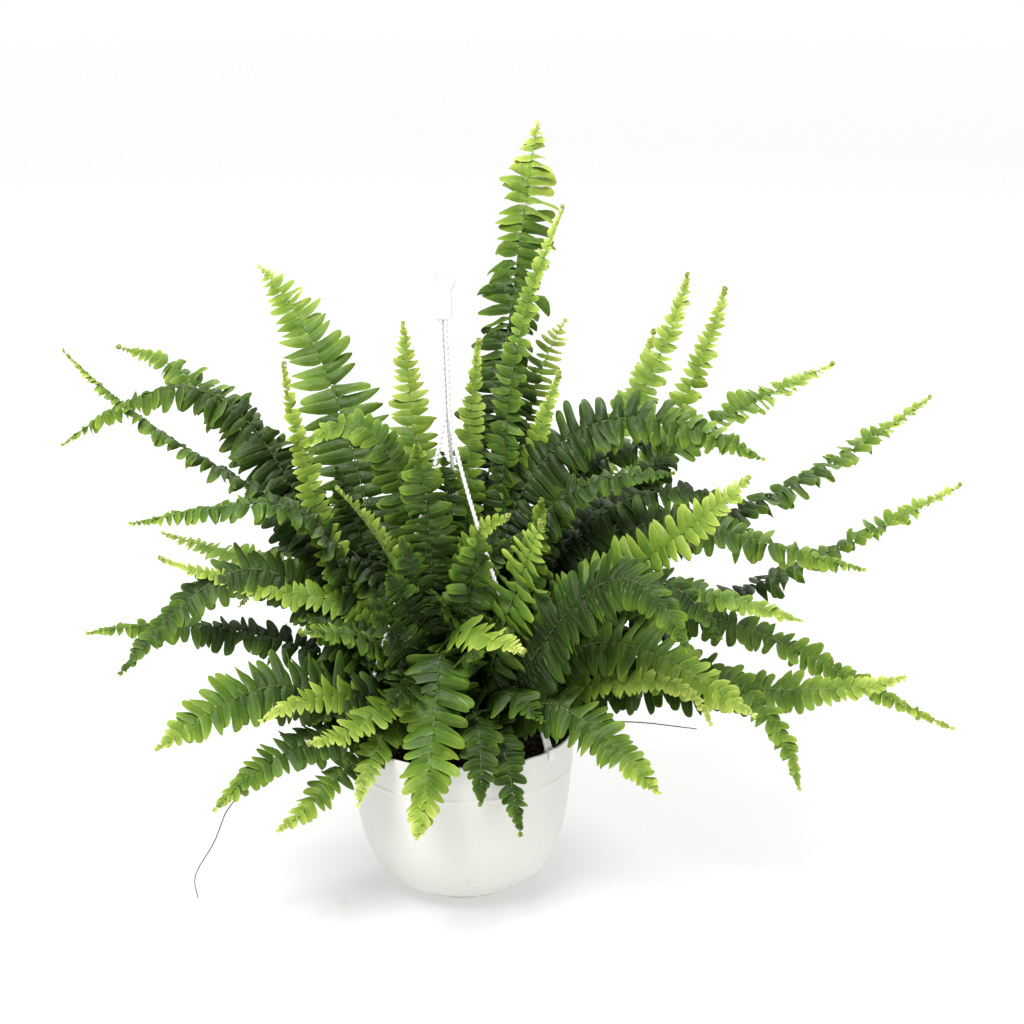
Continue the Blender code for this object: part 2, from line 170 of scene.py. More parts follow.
def span_of(tree, value, low, high, start=0.0, end=1.0):
    """The value moved smoothly from start to end while it goes from low to high."""
    sockets = {"Value": value, "From Min": low, "From Max": high, "To Min": start, "To Max": end}
    return add(tree, "ShaderNodeMapRange", sockets, interpolation_type="SMOOTHSTEP").outputs["Result"]


def grain(tree, scale, detail=3.0, roughness=0.55):
    """Noise on the object's own coordinates."""
    place = add(tree, "ShaderNodeTexCoord").outputs["Object"]
    sockets = {"Vector": place, "Scale": scale, "Detail": detail, "Roughness": roughness}
    return add(tree, "ShaderNodeTexNoise", sockets).outputs["Fac"]


def painted(tree, name):
    """A value that the piece's own mesh carries."""
    return add(tree, "ShaderNodeAttribute", attribute_name=name).outputs["Fac"]


def ramp(tree, value, stops):
    made = add(tree, "ShaderNodeValToRGB", {"Fac": value})
    elements = made.color_ramp.elements
    while len(elements) < len(stops):
        elements.new(0.5)
    for element, (place, colour) in zip(elements, stops):
        element.position = place
        element.color = (*colour, 1)
    return made.outputs["Color"]


def finish(name, specular):
    """A new material: itself, its tree and its one shader."""
    made = bpy.data.materials.new(name)
    made.use_nodes = True
    shader = made.node_tree.nodes["Principled BSDF"]
    shader.inputs["Specular IOR Level"].default_value = specular
    return made, made.node_tree, shader


def surface(tree, shader, colour, roughness, height, strength, depth):
    """Feeds a shader its colour, its roughness, and a bump of a given strength and depth."""
    feed(tree, shader.inputs["Base Color"], colour)
    feed(tree, shader.inputs["Roughness"], roughness)
    bump = add(tree, "ShaderNodeBump", {"Height": height, "Strength": strength, "Distance": depth})
    feed(tree, shader.inputs["Normal"], bump.outputs["Normal"])


# ---------------------------------------------------------------- leaf finishes

LEAF_STOPS = [
    (0.00, (0.008, 0.019, 0.003)),
    (0.22, (0.027, 0.064, 0.007)),
    (0.42, (0.080, 0.164, 0.012)),
    (0.62, (0.205, 0.335, 0.034)),
    (0.80, (0.430, 0.560, 0.095)),
    (1.00, (0.710, 0.790, 0.270)),
]
WARMER = (1.12, 0.96, 0.75, 1)
MIDRIB_GREEN = (0.30, 0.42, 0.10, 1)
UNDERSIDE_GREEN = (0.13, 0.24, 0.07, 1)
SPORE_BROWN = (0.10, 0.050, 0.018, 1)
STALK_STOPS = [
    (0.00, (0.045, 0.050, 0.016)),
    (0.35, (0.105, 0.150, 0.028)),
    (0.60, (0.24, 0.33, 0.05)),
    (1.00, (0.46, 0.58, 0.10)),
]
RIBS = 13.0
MIDRIB_WIDTH = 0.13
# Spore dots stand in a row on each side of the midrib, at this share of the way out to the margin.
SPORES_OUT = 0.62


def leaf_detail_group():
    """Ribs, midrib, paler margin, spore dots and underside of a leaflet, all from its own UV map."""
    group = bpy.data.node_groups.new("leaf_detail", "ShaderNodeTree")
    for label, value in (("Freshness", 0.3), ("Rib Depth", 1.0)):
        socket = group.interface.new_socket(label, in_out="INPUT", socket_type="NodeSocketFloat")
        socket.default_value = value
    for label in ("Tone", "Under", "Midrib", "Spores", "Height"):
        group.interface.new_socket(label, in_out="OUTPUT", socket_type="NodeSocketFloat")
    start = group.nodes.new("NodeGroupInput").outputs
    end = group.nodes.new("NodeGroupOutput")
    place = add(group, "ShaderNodeUVMap", uv_map="leaf").outputs["UV"]
    parts = add(group, "ShaderNodeSeparateXYZ", {"Vector": place}).outputs
    along = parts["X"]
    # The underside's V runs from 2 to 3, the upper side's from 0 to 1.
    under = maths(group, "GREATER_THAN", parts["Y"], 1.5)
    over = maths(group, "SUBTRACT", parts["Y"], times(group, under, 2.0))
    edge = maths(group, "ABSOLUTE", about_zero(group, over, 2.0))
    phase = maths(group, "SUBTRACT", times(group, along, RIBS), times(group, edge, 1.1))
    wave = maths(group, "SINE", times(group, phase, 2 * pi))
    ribs = times(group, plus(group, wave, 1.0), 0.5)
    midrib = span_of(group, edge, 0.0, MIDRIB_WIDTH, 1.0, 0.0)
    fine = grain(group, 420.0, 2.0)
    crinkle = grain(group, 190.0, 2.0)
    # Fresher to the tip and to the margin, mottled, and a little darker between the ribs.
    tone = plus(group, start["Freshness"], span_of(group, along, 0.25, 1.05, -0.04, 0.16))
    tone = plus(group, tone, span_of(group, edge, 0.50, 1.05, 0.0, 0.13))
    tone = plus(group, tone, about_zero(group, grain(group, 55.0), 0.22))
    tone = plus(group, tone, about_zero(group, fine, 0.10))
    tone = maths(group, "SUBTRACT", tone, times(group, ribs, 0.018), clamp=True)
    # One spore dot to a rib, on the underside only.
    step = maths(group, "ABSOLUTE", maths(group, "SUBTRACT", maths(group, "FRACT", phase), 0.5))
    away = maths(group, "ABSOLUTE", maths(group, "SUBTRACT", edge, SPORES_OUT))
    across = times(group, maths(group, "POWER", away, 2.0), 5.0)
    reach = plus(group, maths(group, "POWER", step, 2.0), across)
    spores = times(group, span_of(group, reach, 0.03, 0.07, 1.0, 0.0), under)
    height = times(group, plus(group, ribs, times(group, fine, 0.7)), start["Rib Depth"])
    height = plus(group, height, times(group, midrib, -0.9))
    height = plus(group, height, times(group, spores, 1.4))
    height = plus(group, height, times(group, crinkle, 4.0))
    made = {"Tone": tone, "Under": under, "Midrib": midrib, "Spores": spores, "Height": height}
    for label, value in made.items():
        feed(group, end.inputs[label], value)


def make_leaf_finish(name, shift, roughness, rib_depth, spore_share, gloss):
    """A leaf finish: green from the leaflet's own freshness, moved up or down by `shift`."""
    made, tree, shader = finish(name, gloss)
    sockets = {"Freshness": plus(tree, painted(tree, "fresh"), shift), "Rib Depth": rib_depth}
    part = add(tree, "ShaderNodeGroup", sockets, node_tree=bpy.data.node_groups["leaf_detail"]).outputs
    colour = ramp(tree, part["Tone"], LEAF_STOPS)
    colour = mixed(tree, times(tree, painted(tree, "hue"), 0.5), colour, WARMER, "MULTIPLY")
    colour = mixed(tree, times(tree, part["Midrib"], 0.13), colour, MIDRIB_GREEN)
    colour = mixed(tree, times(tree, part["Under"], 0.38), colour, UNDERSIDE_GREEN)
    colour = mixed(tree, times(tree, part["Spores"], spore_share), colour, SPORE_BROWN)
    rough = plus(tree, times(tree, grain(tree, 150.0), 0.22), roughness - 0.10)
    rough = plus(tree, rough, times(tree, part["Under"], 0.18))
    surface(tree, shader, colour, rough, part["Height"], 0.40, 0.25 * MM)
    return made


def make_stalk_finish():
    """Rachis: olive brown, with the pale flecks of its scales."""
    made, tree, shader = finish("stalk", 0.35)
    base = ramp(tree, painted(tree, "fresh"), STALK_STOPS)
    flecks = span_of(tree, grain(tree, 900.0, 1.0), 0.60, 0.68)
    shade = mixed(tree, times(tree, grain(tree, 160.0), 0.4), base, (0.05, 0.035, 0.015, 1))
    colour = mixed(tree, times(tree, flecks, 0.5), shade, (0.60, 0.58, 0.42, 1))
    surface(tree, shader, colour, plus(tree, times(tree, flecks, 0.2), 0.5), flecks, 0.5, 0.2 * MM)
    return made


# ---------------------------------------------------------------- meshes and pieces


def mesh_of(name, bm):
    """The bmesh as a named mesh. The bmesh is let go."""
    mesh = bpy.data.meshes.new(name)
    bm.to_mesh(mesh)
    bm.free()
    return mesh


def object_of(name, mesh):
    made = bpy.data.objects.new(name, mesh)
    scene.collection.objects.link(made)
    return made


def discard(*helpers):
    """Removes objects that only helped to make a piece, with their meshes."""
    for helper in helpers:
        mesh = helper.data
        bpy.data.objects.remove(helper)
        bpy.data.meshes.remove(mesh)


def collection_of(name):
    """A collection for the shapes that a tree sets on points."""
    made = bpy.data.collections.new(name)
    scene.collection.children.link(made)
    return made


def clear_shapes(shapes):
    discard(*shapes.objects)
    bpy.data.collections.remove(shapes)


def settle(piece, slot, nodes):
    """Fixes a piece to the body, in the place of the CAD nodes named, if any."""
    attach(piece, "root")
    if nodes:
        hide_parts(*nodes)
    return piece


def new_piece(name, bm, material, slot, *nodes):
    """A finished bmesh as a piece of its own."""
    bmesh.ops.recalc_face_normals(bm, faces=bm.faces)
    for face in bm.faces:
        face.smooth = True
    mesh = mesh_of(name, bm)
    mesh.materials.append(material)
    return settle(object_of(name, mesh), slot, nodes)


def evaluated_mesh(source):
    graph = bpy.context.evaluated_depsgraph_get()
    graph.update()
    return bpy.data.meshes.new_from_object(source.evaluated_get(graph), depsgraph=graph)


def baked_piece(name, source, tree, values, slot, *nodes, smooth=True):
    """The plain mesh that a Geometry Nodes tree makes from the source object, as a piece of its own."""
    modifier = source.modifiers.new("build", "NODES")
    modifier.node_group = tree
    for item in tree.interface.items_tree:
        if item.in_out == "INPUT" and item.name in values:
            modifier[item.identifier] = values[item.name]
    mesh = evaluated_mesh(source)
    source.modifiers.remove(modifier)
    mesh.name = name
    if smooth:
        mesh.polygons.foreach_set("use_smooth", [True] * len(mesh.polygons))
    return settle(object_of(name, mesh), slot, nodes)


def points_object(name, points, edges, attributes):
    """A mesh of points and edges, with an attribute of (type, values) for each name."""
    mesh = bpy.data.meshes.new(name)
    mesh.from_pydata([tuple(point) for point in points], edges, [])
    for label, (kind, values) in attributes.items():
        layer = mesh.attributes.new(label, kind, "POINT")
        key = "vector" if kind == "FLOAT_VECTOR" else "value"
        layer.data.foreach_set(key, np.array(values, np.int32 if kind == "INT" else np.float32).ravel())
    return object_of(name, mesh)


def line_object(name, line, attributes):
    return points_object(name, line, [(i, i + 1) for i in range(len(line) - 1)], attributes)


def way_along(path, i):
    """The unit vector along a path at its point number i."""
    return (path[min(i + 1, len(path) - 1)] - path[max(i - 1, 0)]).normalized()


def skin(bm, rings):
    """Joins rings of verts, each to the next, into a closed rod."""
    for low, high in zip(rings, rings[1:]):
        for i in range(len(low)):
            j = (i + 1) % len(low)
            bm.faces.new((low[i], low[j], high[j], high[i]))
    bm.faces.new(rings[0])
    bm.faces.new(rings[-1])


def circle(bm, radius, z, sides):
    """A ring of verts. The radius may be a function of the angle, and z a function of the place."""
    ring = []
    for i in range(sides):
        angle = 2 * pi * i / sides
        reach = radius(angle) if callable(radius) else radius
        x, y = reach * cos(angle), reach * sin(angle)
        ring.append(bm.verts.new((x, y, z(x, y) if callable(z) else z)))
    return ring


def lathe(bm, rows, sides):
    """Turns (radius, z) rows into a shell. A row on the axis is a pole."""
    rings = [[bm.verts.new((0, 0, z))] if radius == 0 else circle(bm, radius, z, sides) for radius, z in rows]
    for low, high in zip(rings, rings[1:]):
        for i in range(sides):
            j = (i + 1) % sides
            if len(low) == 1:
                bm.faces.new((low[0], high[j], high[i]))
            elif len(high) == 1:
                bm.faces.new((low[i], low[j], high[0]))
            else:
                bm.faces.new((low[i], low[j], high[j], high[i]))


def smooth_by_angle(mesh, degrees):
    """Smooth faces, with every edge sharper than the angle kept crisp."""
    bm = bmesh.new()
    bm.from_mesh(mesh)
    for face in bm.faces:
        face.smooth = True
    for edge in bm.edges:
        edge.smooth = len(edge.link_faces) == 2 and edge.calc_face_angle(0) < radians(degrees)
    bm.to_mesh(mesh)
    bm.free()


# ---------------------------------------------------------------- leaflets

# A leaflet's half-widths at shares of its length: on its tip-ward side, and on its other side.
POINTED_ROWS = [
    (0.02, 0.95, 0.55),
    (0.10, 1.22, 0.86),
    (0.26, 1.00, 0.98),
    (0.48, 0.86, 0.90),
    (0.70, 0.62, 0.66),
    (0.86, 0.36, 0.38),
    (0.955, 0.15, 0.16),
]
BLUNT_ROWS = [
    (0.02, 0.95, 0.62),
    (0.10, 1.14, 0.90),
    (0.28, 1.00, 0.98),
    (0.52, 0.95, 0.97),
    (0.74, 0.86, 0.88),
    (0.89, 0.66, 0.68),
    (0.97, 0.38, 0.39),
]
ACROSS = (-1.0, -0.5, 0.0, 0.5, 1.0)
HALF_WIDTH = 0.16
THICKNESS = 0.012
GROOVE = 0.010

# droop bends the leaflet down, wave lifts and lowers its edge, twist turns it in degrees, sweep carries its
# tip forward, cup lowers its margins, and hook rolls its tip back.
Form = namedtuple("Form", "droop wave twist sweep cup hook")
FORMS = [
    Form(0.05, 0.014, 5, 0.05, 0.30, 0.00),
    Form(0.14, 0.0252, -14, 0.10, 0.40, 0.03),
    Form(0.26, 0.0392, 22, 0.02, 0.50, 0.10),
    Form(0.40, 0.056, -36, -0.05, 0.55, 0.24),
    Form(0.34, 0.070, 62, -0.12, 0.55, 0.32),
    Form(0.52, 0.063, -70, 0.14, 0.60, 0.42),
]


def leaflet_point(form, side, share, over, half):
    """A point of the lamina at a share of the length and at a share (-1 to 1) of the half-width."""
    turn = radians(form.twist) * share * side
    rise = -form.droop * share**1.8 + form.wave * sin(7.5 * share + 1.2 * over)
    back = form.hook * max(0.0, share - 0.62) ** 2 * 2.2
    out = half * over
    sag = -form.cup * HALF_WIDTH * over * over * min(1.0, half / HALF_WIDTH)
    sag -= GROOVE if over == 0 else 0.0
    x = share - back - 0.10 * form.droop * share**2
    y = side * form.sweep * share**2 + out * cos(turn) - sag * sin(turn)
    z = rise + out * sin(turn) + sag * cos(turn) - back * 1.6
    return Vector((x, y, z))


def make_leaflet_form(name, form, outline, side):
    """One closed thin leaflet, one unit long on +X, with its tip-ward edge on the +Y (1) or -Y (-1) side."""
    bm = bmesh.new()
    uv = bm.loops.layers.uv.new("leaf")
    rows = []
    for share, forward, backward in outline:
        halves = [HALF_WIDTH * (forward if over * side > 0 else backward) for over in ACROSS]
        points = [leaflet_point(form, side, share, over, half) for over, half in zip(ACROSS, halves)]
        tops = [bm.verts.new(point) for point in points]
        below = bm.verts.new(tops[2].co - THICKNESS * UP)
        rows.append((share, tops, below))
    foot = bm.verts.new((0, 0, -THICKNESS / 2))
    tip = bm.verts.new(leaflet_point(form, side, 1.0, 0.0, 0.0))
    places = {foot: (0.0, 0.5), tip: (1.0, 0.5)}
    for share, tops, below in rows:
        places[below] = (share, 0.5)
        for vert, over in zip(tops, ACROSS):
            places[vert] = (share, 0.5 + 0.5 * over)

    def face(verts, under):
        made = bm.faces.new(verts)
        made.smooth = True
        for loop in made.loops:
            u, v = places[loop.vert]
            loop[uv].uv = (u, v + 2.0 * under)

    for (_, near, near_low), (_, far, far_low) in zip(rows, rows[1:]):
        for i in range(4):
            face((near[i], far[i], far[i + 1], near[i + 1]), 0)
        face((near_low, far_low, far[0], near[0]), 1)
        face((near[4], far[4], far_low, near_low), 1)
    _, first, first_low = rows[0]
    _, last, last_low = rows[-1]
    for i in range(4):
        face((foot, first[i], first[i + 1]), 0)
        face((last[i], tip, last[i + 1]), 0)
    face((foot, first_low, first[0]), 1)
    face((foot, first[4], first_low), 1)
    face((last[0], last_low, tip), 1)
    face((last[4], tip, last_low), 1)
    bmesh.ops.recalc_face_normals(bm, faces=bm.faces)
    # The margin between the upper side and the underside stays crisp.
    for edge in bm.edges:
        unders = {loop[uv].uv.y > 1.5 for loop in edge.link_loops}
        edge.smooth = len(unders) == 1
    return bpy.data.objects.new(name, mesh_of(name, bm))


def make_leaflet_forms():
    """All the forms, for both sides of a frond, in one collection in the order that the points count them."""
    forms = collection_of("leaflet_forms")
    for kind, outline in (("blunt", BLUNT_ROWS), ("pointed", POINTED_ROWS)):
        for number, form in enumerate(FORMS):
            for label, side in (("a", 1), ("b", -1)):
                forms.objects.link(make_leaflet_form(f"leaflet_{kind}_{number}{label}", form, outline, side))
    return forms


# ---------------------------------------------------------------- geometry trees


def geometry_tree(name, inputs):
    """A Geometry Nodes tree with the named inputs: the tree, its input sockets and its end node."""
    tree = bpy.data.node_groups.new(name, "GeometryNodeTree")
    for label, kind in {"Geometry": "Geometry", **inputs}.items():
        tree.interface.new_socket(label, in_out="INPUT", socket_type="NodeSocket" + kind)
    tree.interface.new_socket("Geometry", in_out="OUTPUT", socket_type="NodeSocketGeometry")
    return tree, tree.nodes.new("NodeGroupInput").outputs, tree.nodes.new("NodeGroupOutput")


def coated(tree, geometry, material):
    return add(tree, "GeometryNodeSetMaterial", {"Geometry": geometry, "Material": material}).outputs[0]


def tumbled(tree, rotation, most, seed):
    """A rotation turned on, about each axis by a random angle of up to the given most either way."""
    most = add(tree, "ShaderNodeCombineXYZ", dict(zip("XYZ", most))).outputs[0]
    least = add(tree, "ShaderNodeVectorMath", {0: most, 1: (-1, -1, -1)}, operation="MULTIPLY").outputs[0]
    turn = add(tree, "FunctionNodeRandomValue", {0: least, 1: most, "Seed": seed}, data_type="FLOAT_VECTOR")
    turn = add(tree, "FunctionNodeEulerToRotation", {"Euler": turn.outputs[0]}).outputs[0]
    sockets = {"Rotation": rotation, "Rotate By": turn}
    return add(tree, "FunctionNodeRotateRotation", sockets, rotation_space="LOCAL").outputs[0]


def random_size(tree, low, high, seed):
    return add(tree, "FunctionNodeRandomValue", {2: low, 3: high, "Seed": seed}, data_type="FLOAT").outputs[1]


def placed(tree, points, shapes, material, sockets):
    """The collection's shapes set on the points, made real and given their material."""
    picked = {"Collection": shapes, "Separate Children": True, "Reset Children": True}
    shape = add(tree, "GeometryNodeCollectionInfo", picked).outputs[0]
    sockets = {"Points": points, "Instance": shape, "Pick Instance": True, **sockets}
    instances = add(tree, "GeometryNodeInstanceOnPoints", sockets).outputs[0]
    return coated(tree, add(tree, "GeometryNodeRealizeInstances", {0: instances}).outputs[0], material)


def frond_tree():
    """Sets a leaflet on every point and a tapered stalk round the centre line."""
    tree, start, end = geometry_tree(
        "frond",
        {
            "Leaflet Forms": "Collection",
            "Leaflet Points": "Object",
            "Twist": "Float",
            "Lift": "Float",
            "Swing": "Float",
            "Size Change": "Float",
            "Stalk Sides": "Int",
            "Seed": "Int",
            "Leaf Finish": "Material",
            "Stalk Finish": "Material",
        },
    )

    def named(label, data_type="FLOAT_VECTOR"):
        found = add(tree, "GeometryNodeInputNamedAttribute", {"Name": label}, data_type=data_type)
        return found.outputs["Attribute"]

    points = add(tree, "GeometryNodeObjectInfo", {"Object": start["Leaflet Points"]}).outputs["Geometry"]
    axes = {"Primary Axis": named("up"), "Secondary Axis": named("along")}
    facing = add(tree, "FunctionNodeAxesToRotation", axes, primary_axis="Z", secondary_axis="X").outputs[0]
    turned = tumbled(tree, facing, (start["Twist"], start["Lift"], start["Swing"]), start["Seed"])
    low = maths(tree, "SUBTRACT", 1.0, start["Size Change"])
    change = random_size(tree, low, plus(tree, 1.0, start["Size Change"]), start["Seed"])
    sockets = {0: named("size"), "Scale": change}
    size = add(tree, "ShaderNodeVectorMath", sockets, operation="SCALE").outputs[0]
    sockets = {"Instance Index": named("form", "INT"), "Rotation": turned, "Scale": size}
    leaflets = placed(tree, points, start["Leaflet Forms"], start["Leaf Finish"], sockets)
    line = add(tree, "GeometryNodeMeshToCurve", {0: start["Geometry"]}).outputs[0]
    ring = add(tree, "GeometryNodeCurvePrimitiveCircle", {"Resolution": start["Stalk Sides"], "Radius": 1.0})
    sockets = {"Curve": line, "Profile Curve": ring.outputs[0], "Fill Caps": True}
    sockets["Scale"] = named("radius", "FLOAT")
    stalk = coated(tree, add(tree, "GeometryNodeCurveToMesh", sockets).outputs[0], start["Stalk Finish"])
    both = add(tree, "GeometryNodeJoinGeometry")
    for geometry in (stalk, leaflets):
        tree.links.new(geometry, both.inputs[0])
    feed(tree, end.inputs[0], both.outputs[0])
    return tree


def strewing_tree():
    """Strews small shapes over a surface, each turned and sized at random."""
    tree, start, end = geometry_tree(
        "strewn",
        {
            "Shapes": "Collection",
            "Spacing": "Float",
            "Density": "Float",
            "Smallest": "Float",
            "Largest": "Float",
            "Tumble": "Float",
            "Seed": "Int",
            "Finish": "Material",
        },
    )
    sockets = {"Mesh": start["Geometry"], "Distance Min": start["Spacing"]}
    sockets |= {"Density Max": start["Density"], "Seed": start["Seed"]}
    points = add(tree, "GeometryNodeDistributePointsOnFaces", sockets, distribute_method="POISSON").outputs
    turned = tumbled(tree, points["Rotation"], (start["Tumble"], start["Tumble"], pi), start["Seed"])
    size = random_size(tree, start["Smallest"], start["Largest"], start["Seed"])
    sockets = {"Rotation": turned, "Scale": size}
    feed(tree, end.inputs[0], placed(tree, points["Points"], start["Shapes"], start["Finish"], sockets))
    return tree


def rope_tree():
    """A twisted rope along a line: a lobed outline carried along it and turned at an even pitch."""
    tree, start, end = geometry_tree(
        "twisted_strand",
        {
            "Radius": "Float",
            "Lobes": "Float",
            "Lobe Depth": "Float",
            "Pitch": "Float",
            "Pace": "Float",
            "Sides": "Int",
            "Finish": "Material",
        },
    )
    line = add(tree, "GeometryNodeMeshToCurve", {0: start["Geometry"]}).outputs[0]
    fine = add(tree, "GeometryNodeResampleCurve", {"Curve": line, "Length": start["Pace"]}, mode="LENGTH")
    walked = add(tree, "GeometryNodeSplineParameter").outputs["Length"]
    turn = times(tree, maths(tree, "DIVIDE", walked, start["Pitch"]), 2 * pi)
    tilted = add(tree, "GeometryNodeSetCurveTilt", {"Curve": fine.outputs[0], "Tilt": turn}).outputs[0]
    sockets = {"Resolution": start["Sides"], "Radius": start["Radius"]}
    ring = add(tree, "GeometryNodeCurvePrimitiveCircle", sockets).outputs[0]
    angle = times(tree, add(tree, "GeometryNodeSplineParameter").outputs["Factor"], 2 * pi)
    lobe = maths(tree, "COSINE", times(tree, angle, start["Lobes"]))
    swell = plus(tree, times(tree, maths(tree, "SUBTRACT", lobe, 1.0), start["Lobe Depth"]), 1.0)
    place = add(tree, "GeometryNodeInputPosition").outputs[0]
    moved = add(tree, "ShaderNodeVectorMath", {0: place, "Scale": swell}, operation="SCALE").outputs[0]
    outline = add(tree, "GeometryNodeSetPosition", {"Geometry": ring, "Position": moved}).outputs[0]
    sockets = {"Curve": tilted, "Profile Curve": outline, "Fill Caps": True}
    rope = add(tree, "GeometryNodeCurveToMesh", sockets).outputs[0]
    feed(tree, end.inputs[0], coated(tree, rope, start["Finish"]))
    return tree


# ---------------------------------------------------------------- lines


def cad_mesh(node):
    """A CAD node's mesh as a bmesh, with its loose triangles joined."""
    bm = bmesh.new()
    bm.from_mesh(frame["nodes"][node].data)
    bmesh.ops.remove_doubles(bm, verts=bm.verts, dist=0.02 * MM)
    return bm


def levels_from(verts):
    """The given verts, then those one edge on from them, and so on to the far end of the mesh."""
    seen = set(verts)
    while verts:
        yield verts
        found = []
        for vert in verts:
            for edge in vert.link_edges:
                other = edge.other_vert(vert)
                if other not in seen:
                    seen.add(other)
                    found.append(other)
        verts = found


def rings_of(node):
    """The centre of each ring of a CAD frond blade, from its foot on the crown to its tip."""
    bm = cad_mesh(node)
    near = [v for v in bm.verts if hypot(v.co.x - CROWN.x, v.co.y - CROWN.y) < 1.3 * CROWN_RADIUS]
    foot = min(near, key=lambda v: v.co.z)
    centres = [centre_of([v.co.copy() for v in level]) for level in levels_from([foot])]
    bm.free()
    return centres


def centre_of(corners):
    """The middle of the ridge pair of a ring of four, or the middle of a ring of any other count."""
    if len(corners) != 4:
        return sum(corners, Vector()) / len(corners)
    a, b, c, d = corners
    pairings = [((a, b), (c, d)), ((a, c), (b, d)), ((a, d), (b, c))]
    opposite = min(pairings, key=lambda p: (sum(p[0], Vector()) - sum(p[1], Vector())).length)
    ridge = min(opposite, key=lambda pair: (pair[0] - pair[1]).length)
    return (ridge[0] + ridge[1]) / 2


def smooth_path(points, steps):
    """A Catmull-Rom curve through the points, `steps` pieces to each span."""
    padded = [2 * points[0] - points[1], *points, 2 * points[-1] - points[-2]]
    path = [points[0].copy()]
    for a, b, c, d in zip(padded, padded[1:], padded[2:], padded[3:]):
        for i in range(1, steps + 1):
            t = i / steps
            even = 2 * b + (c - a) * t
            bend = (2 * a - 5 * b + 4 * c - d) * t * t
            twist = (3 * b - a - 3 * c + d) * t**3
            path.append((even + bend + twist) / 2)
    return path


def even_points(path, pace):
    """Points an even pace apart along a path, about as far apart as `pace`."""
    lengths = [(b - a).length for a, b in zip(path, path[1:])]
    count = max(4, round(sum(lengths) / pace))
    pace = sum(lengths) / count
    points = [path[0].copy()]
    walked = 0
    due = pace
    for a, b, step in zip(path, path[1:], lengths):
        while due <= walked + step and len(points) < count:
            points.append(a.lerp(b, (due - walked) / step))
            due += pace
        walked += step
    return points + [path[-1].copy()]


def bezier(a, b, c, d, steps):
    """Points along the cubic curve from a to d that b and c pull on."""
    points = []
    for i in range(steps + 1):
        t = i / steps
        s = 1 - t
        points.append(s**3 * a + 3 * s * s * t * b + 3 * s * t * t * c + t**3 * d)
    return points


def bent_line(azimuth, reach, height, rise, fall, spring, bow, foot_ring):
    """A frond line that leaves the crown at `rise` degrees and comes to its tip at `fall` degrees."""
    turn = radians(azimuth)
    base = Vector((CROWN.x + foot_ring * cos(turn), CROWN.y + foot_ring * sin(turn), CROWN_HIGH.z - 1 * MM))
    tip = Vector((CROWN.x + reach * MM * cos(turn), CROWN.y + reach * MM * sin(turn), height * MM))
    across = Vector((cos(turn), sin(turn), 0))
    sideways = Vector((-across.y, across.x, 0))
    span = (tip - base).length
    leave = cos(radians(rise)) * across + sin(radians(rise)) * UP
    arrive = cos(radians(fall)) * across + sin(radians(fall)) * UP
    bowed = bow * span * sideways
    return bezier(base, base + spring * span * leave + bowed, tip - spring * span * arrive + bowed, tip, 24)


# ---------------------------------------------------------------- fronds

# long is the longest leaflet in millimetres. show turns the blade's face to the front (1) or leaves it level
# (0). lift raises the leaflets in a V, in degrees. curl is how far they droop and crinkle. level turns each
# leaflet's face up. fresh is the green's freshness over most of the frond, and new is how much fresher its tip
# is. taper says how soon the frond narrows to its tip, and wide scales the leaflets' width.
Habit = namedtuple("Habit", "long show lift curl level fresh new taper wide", defaults=(0.52, 1.0))

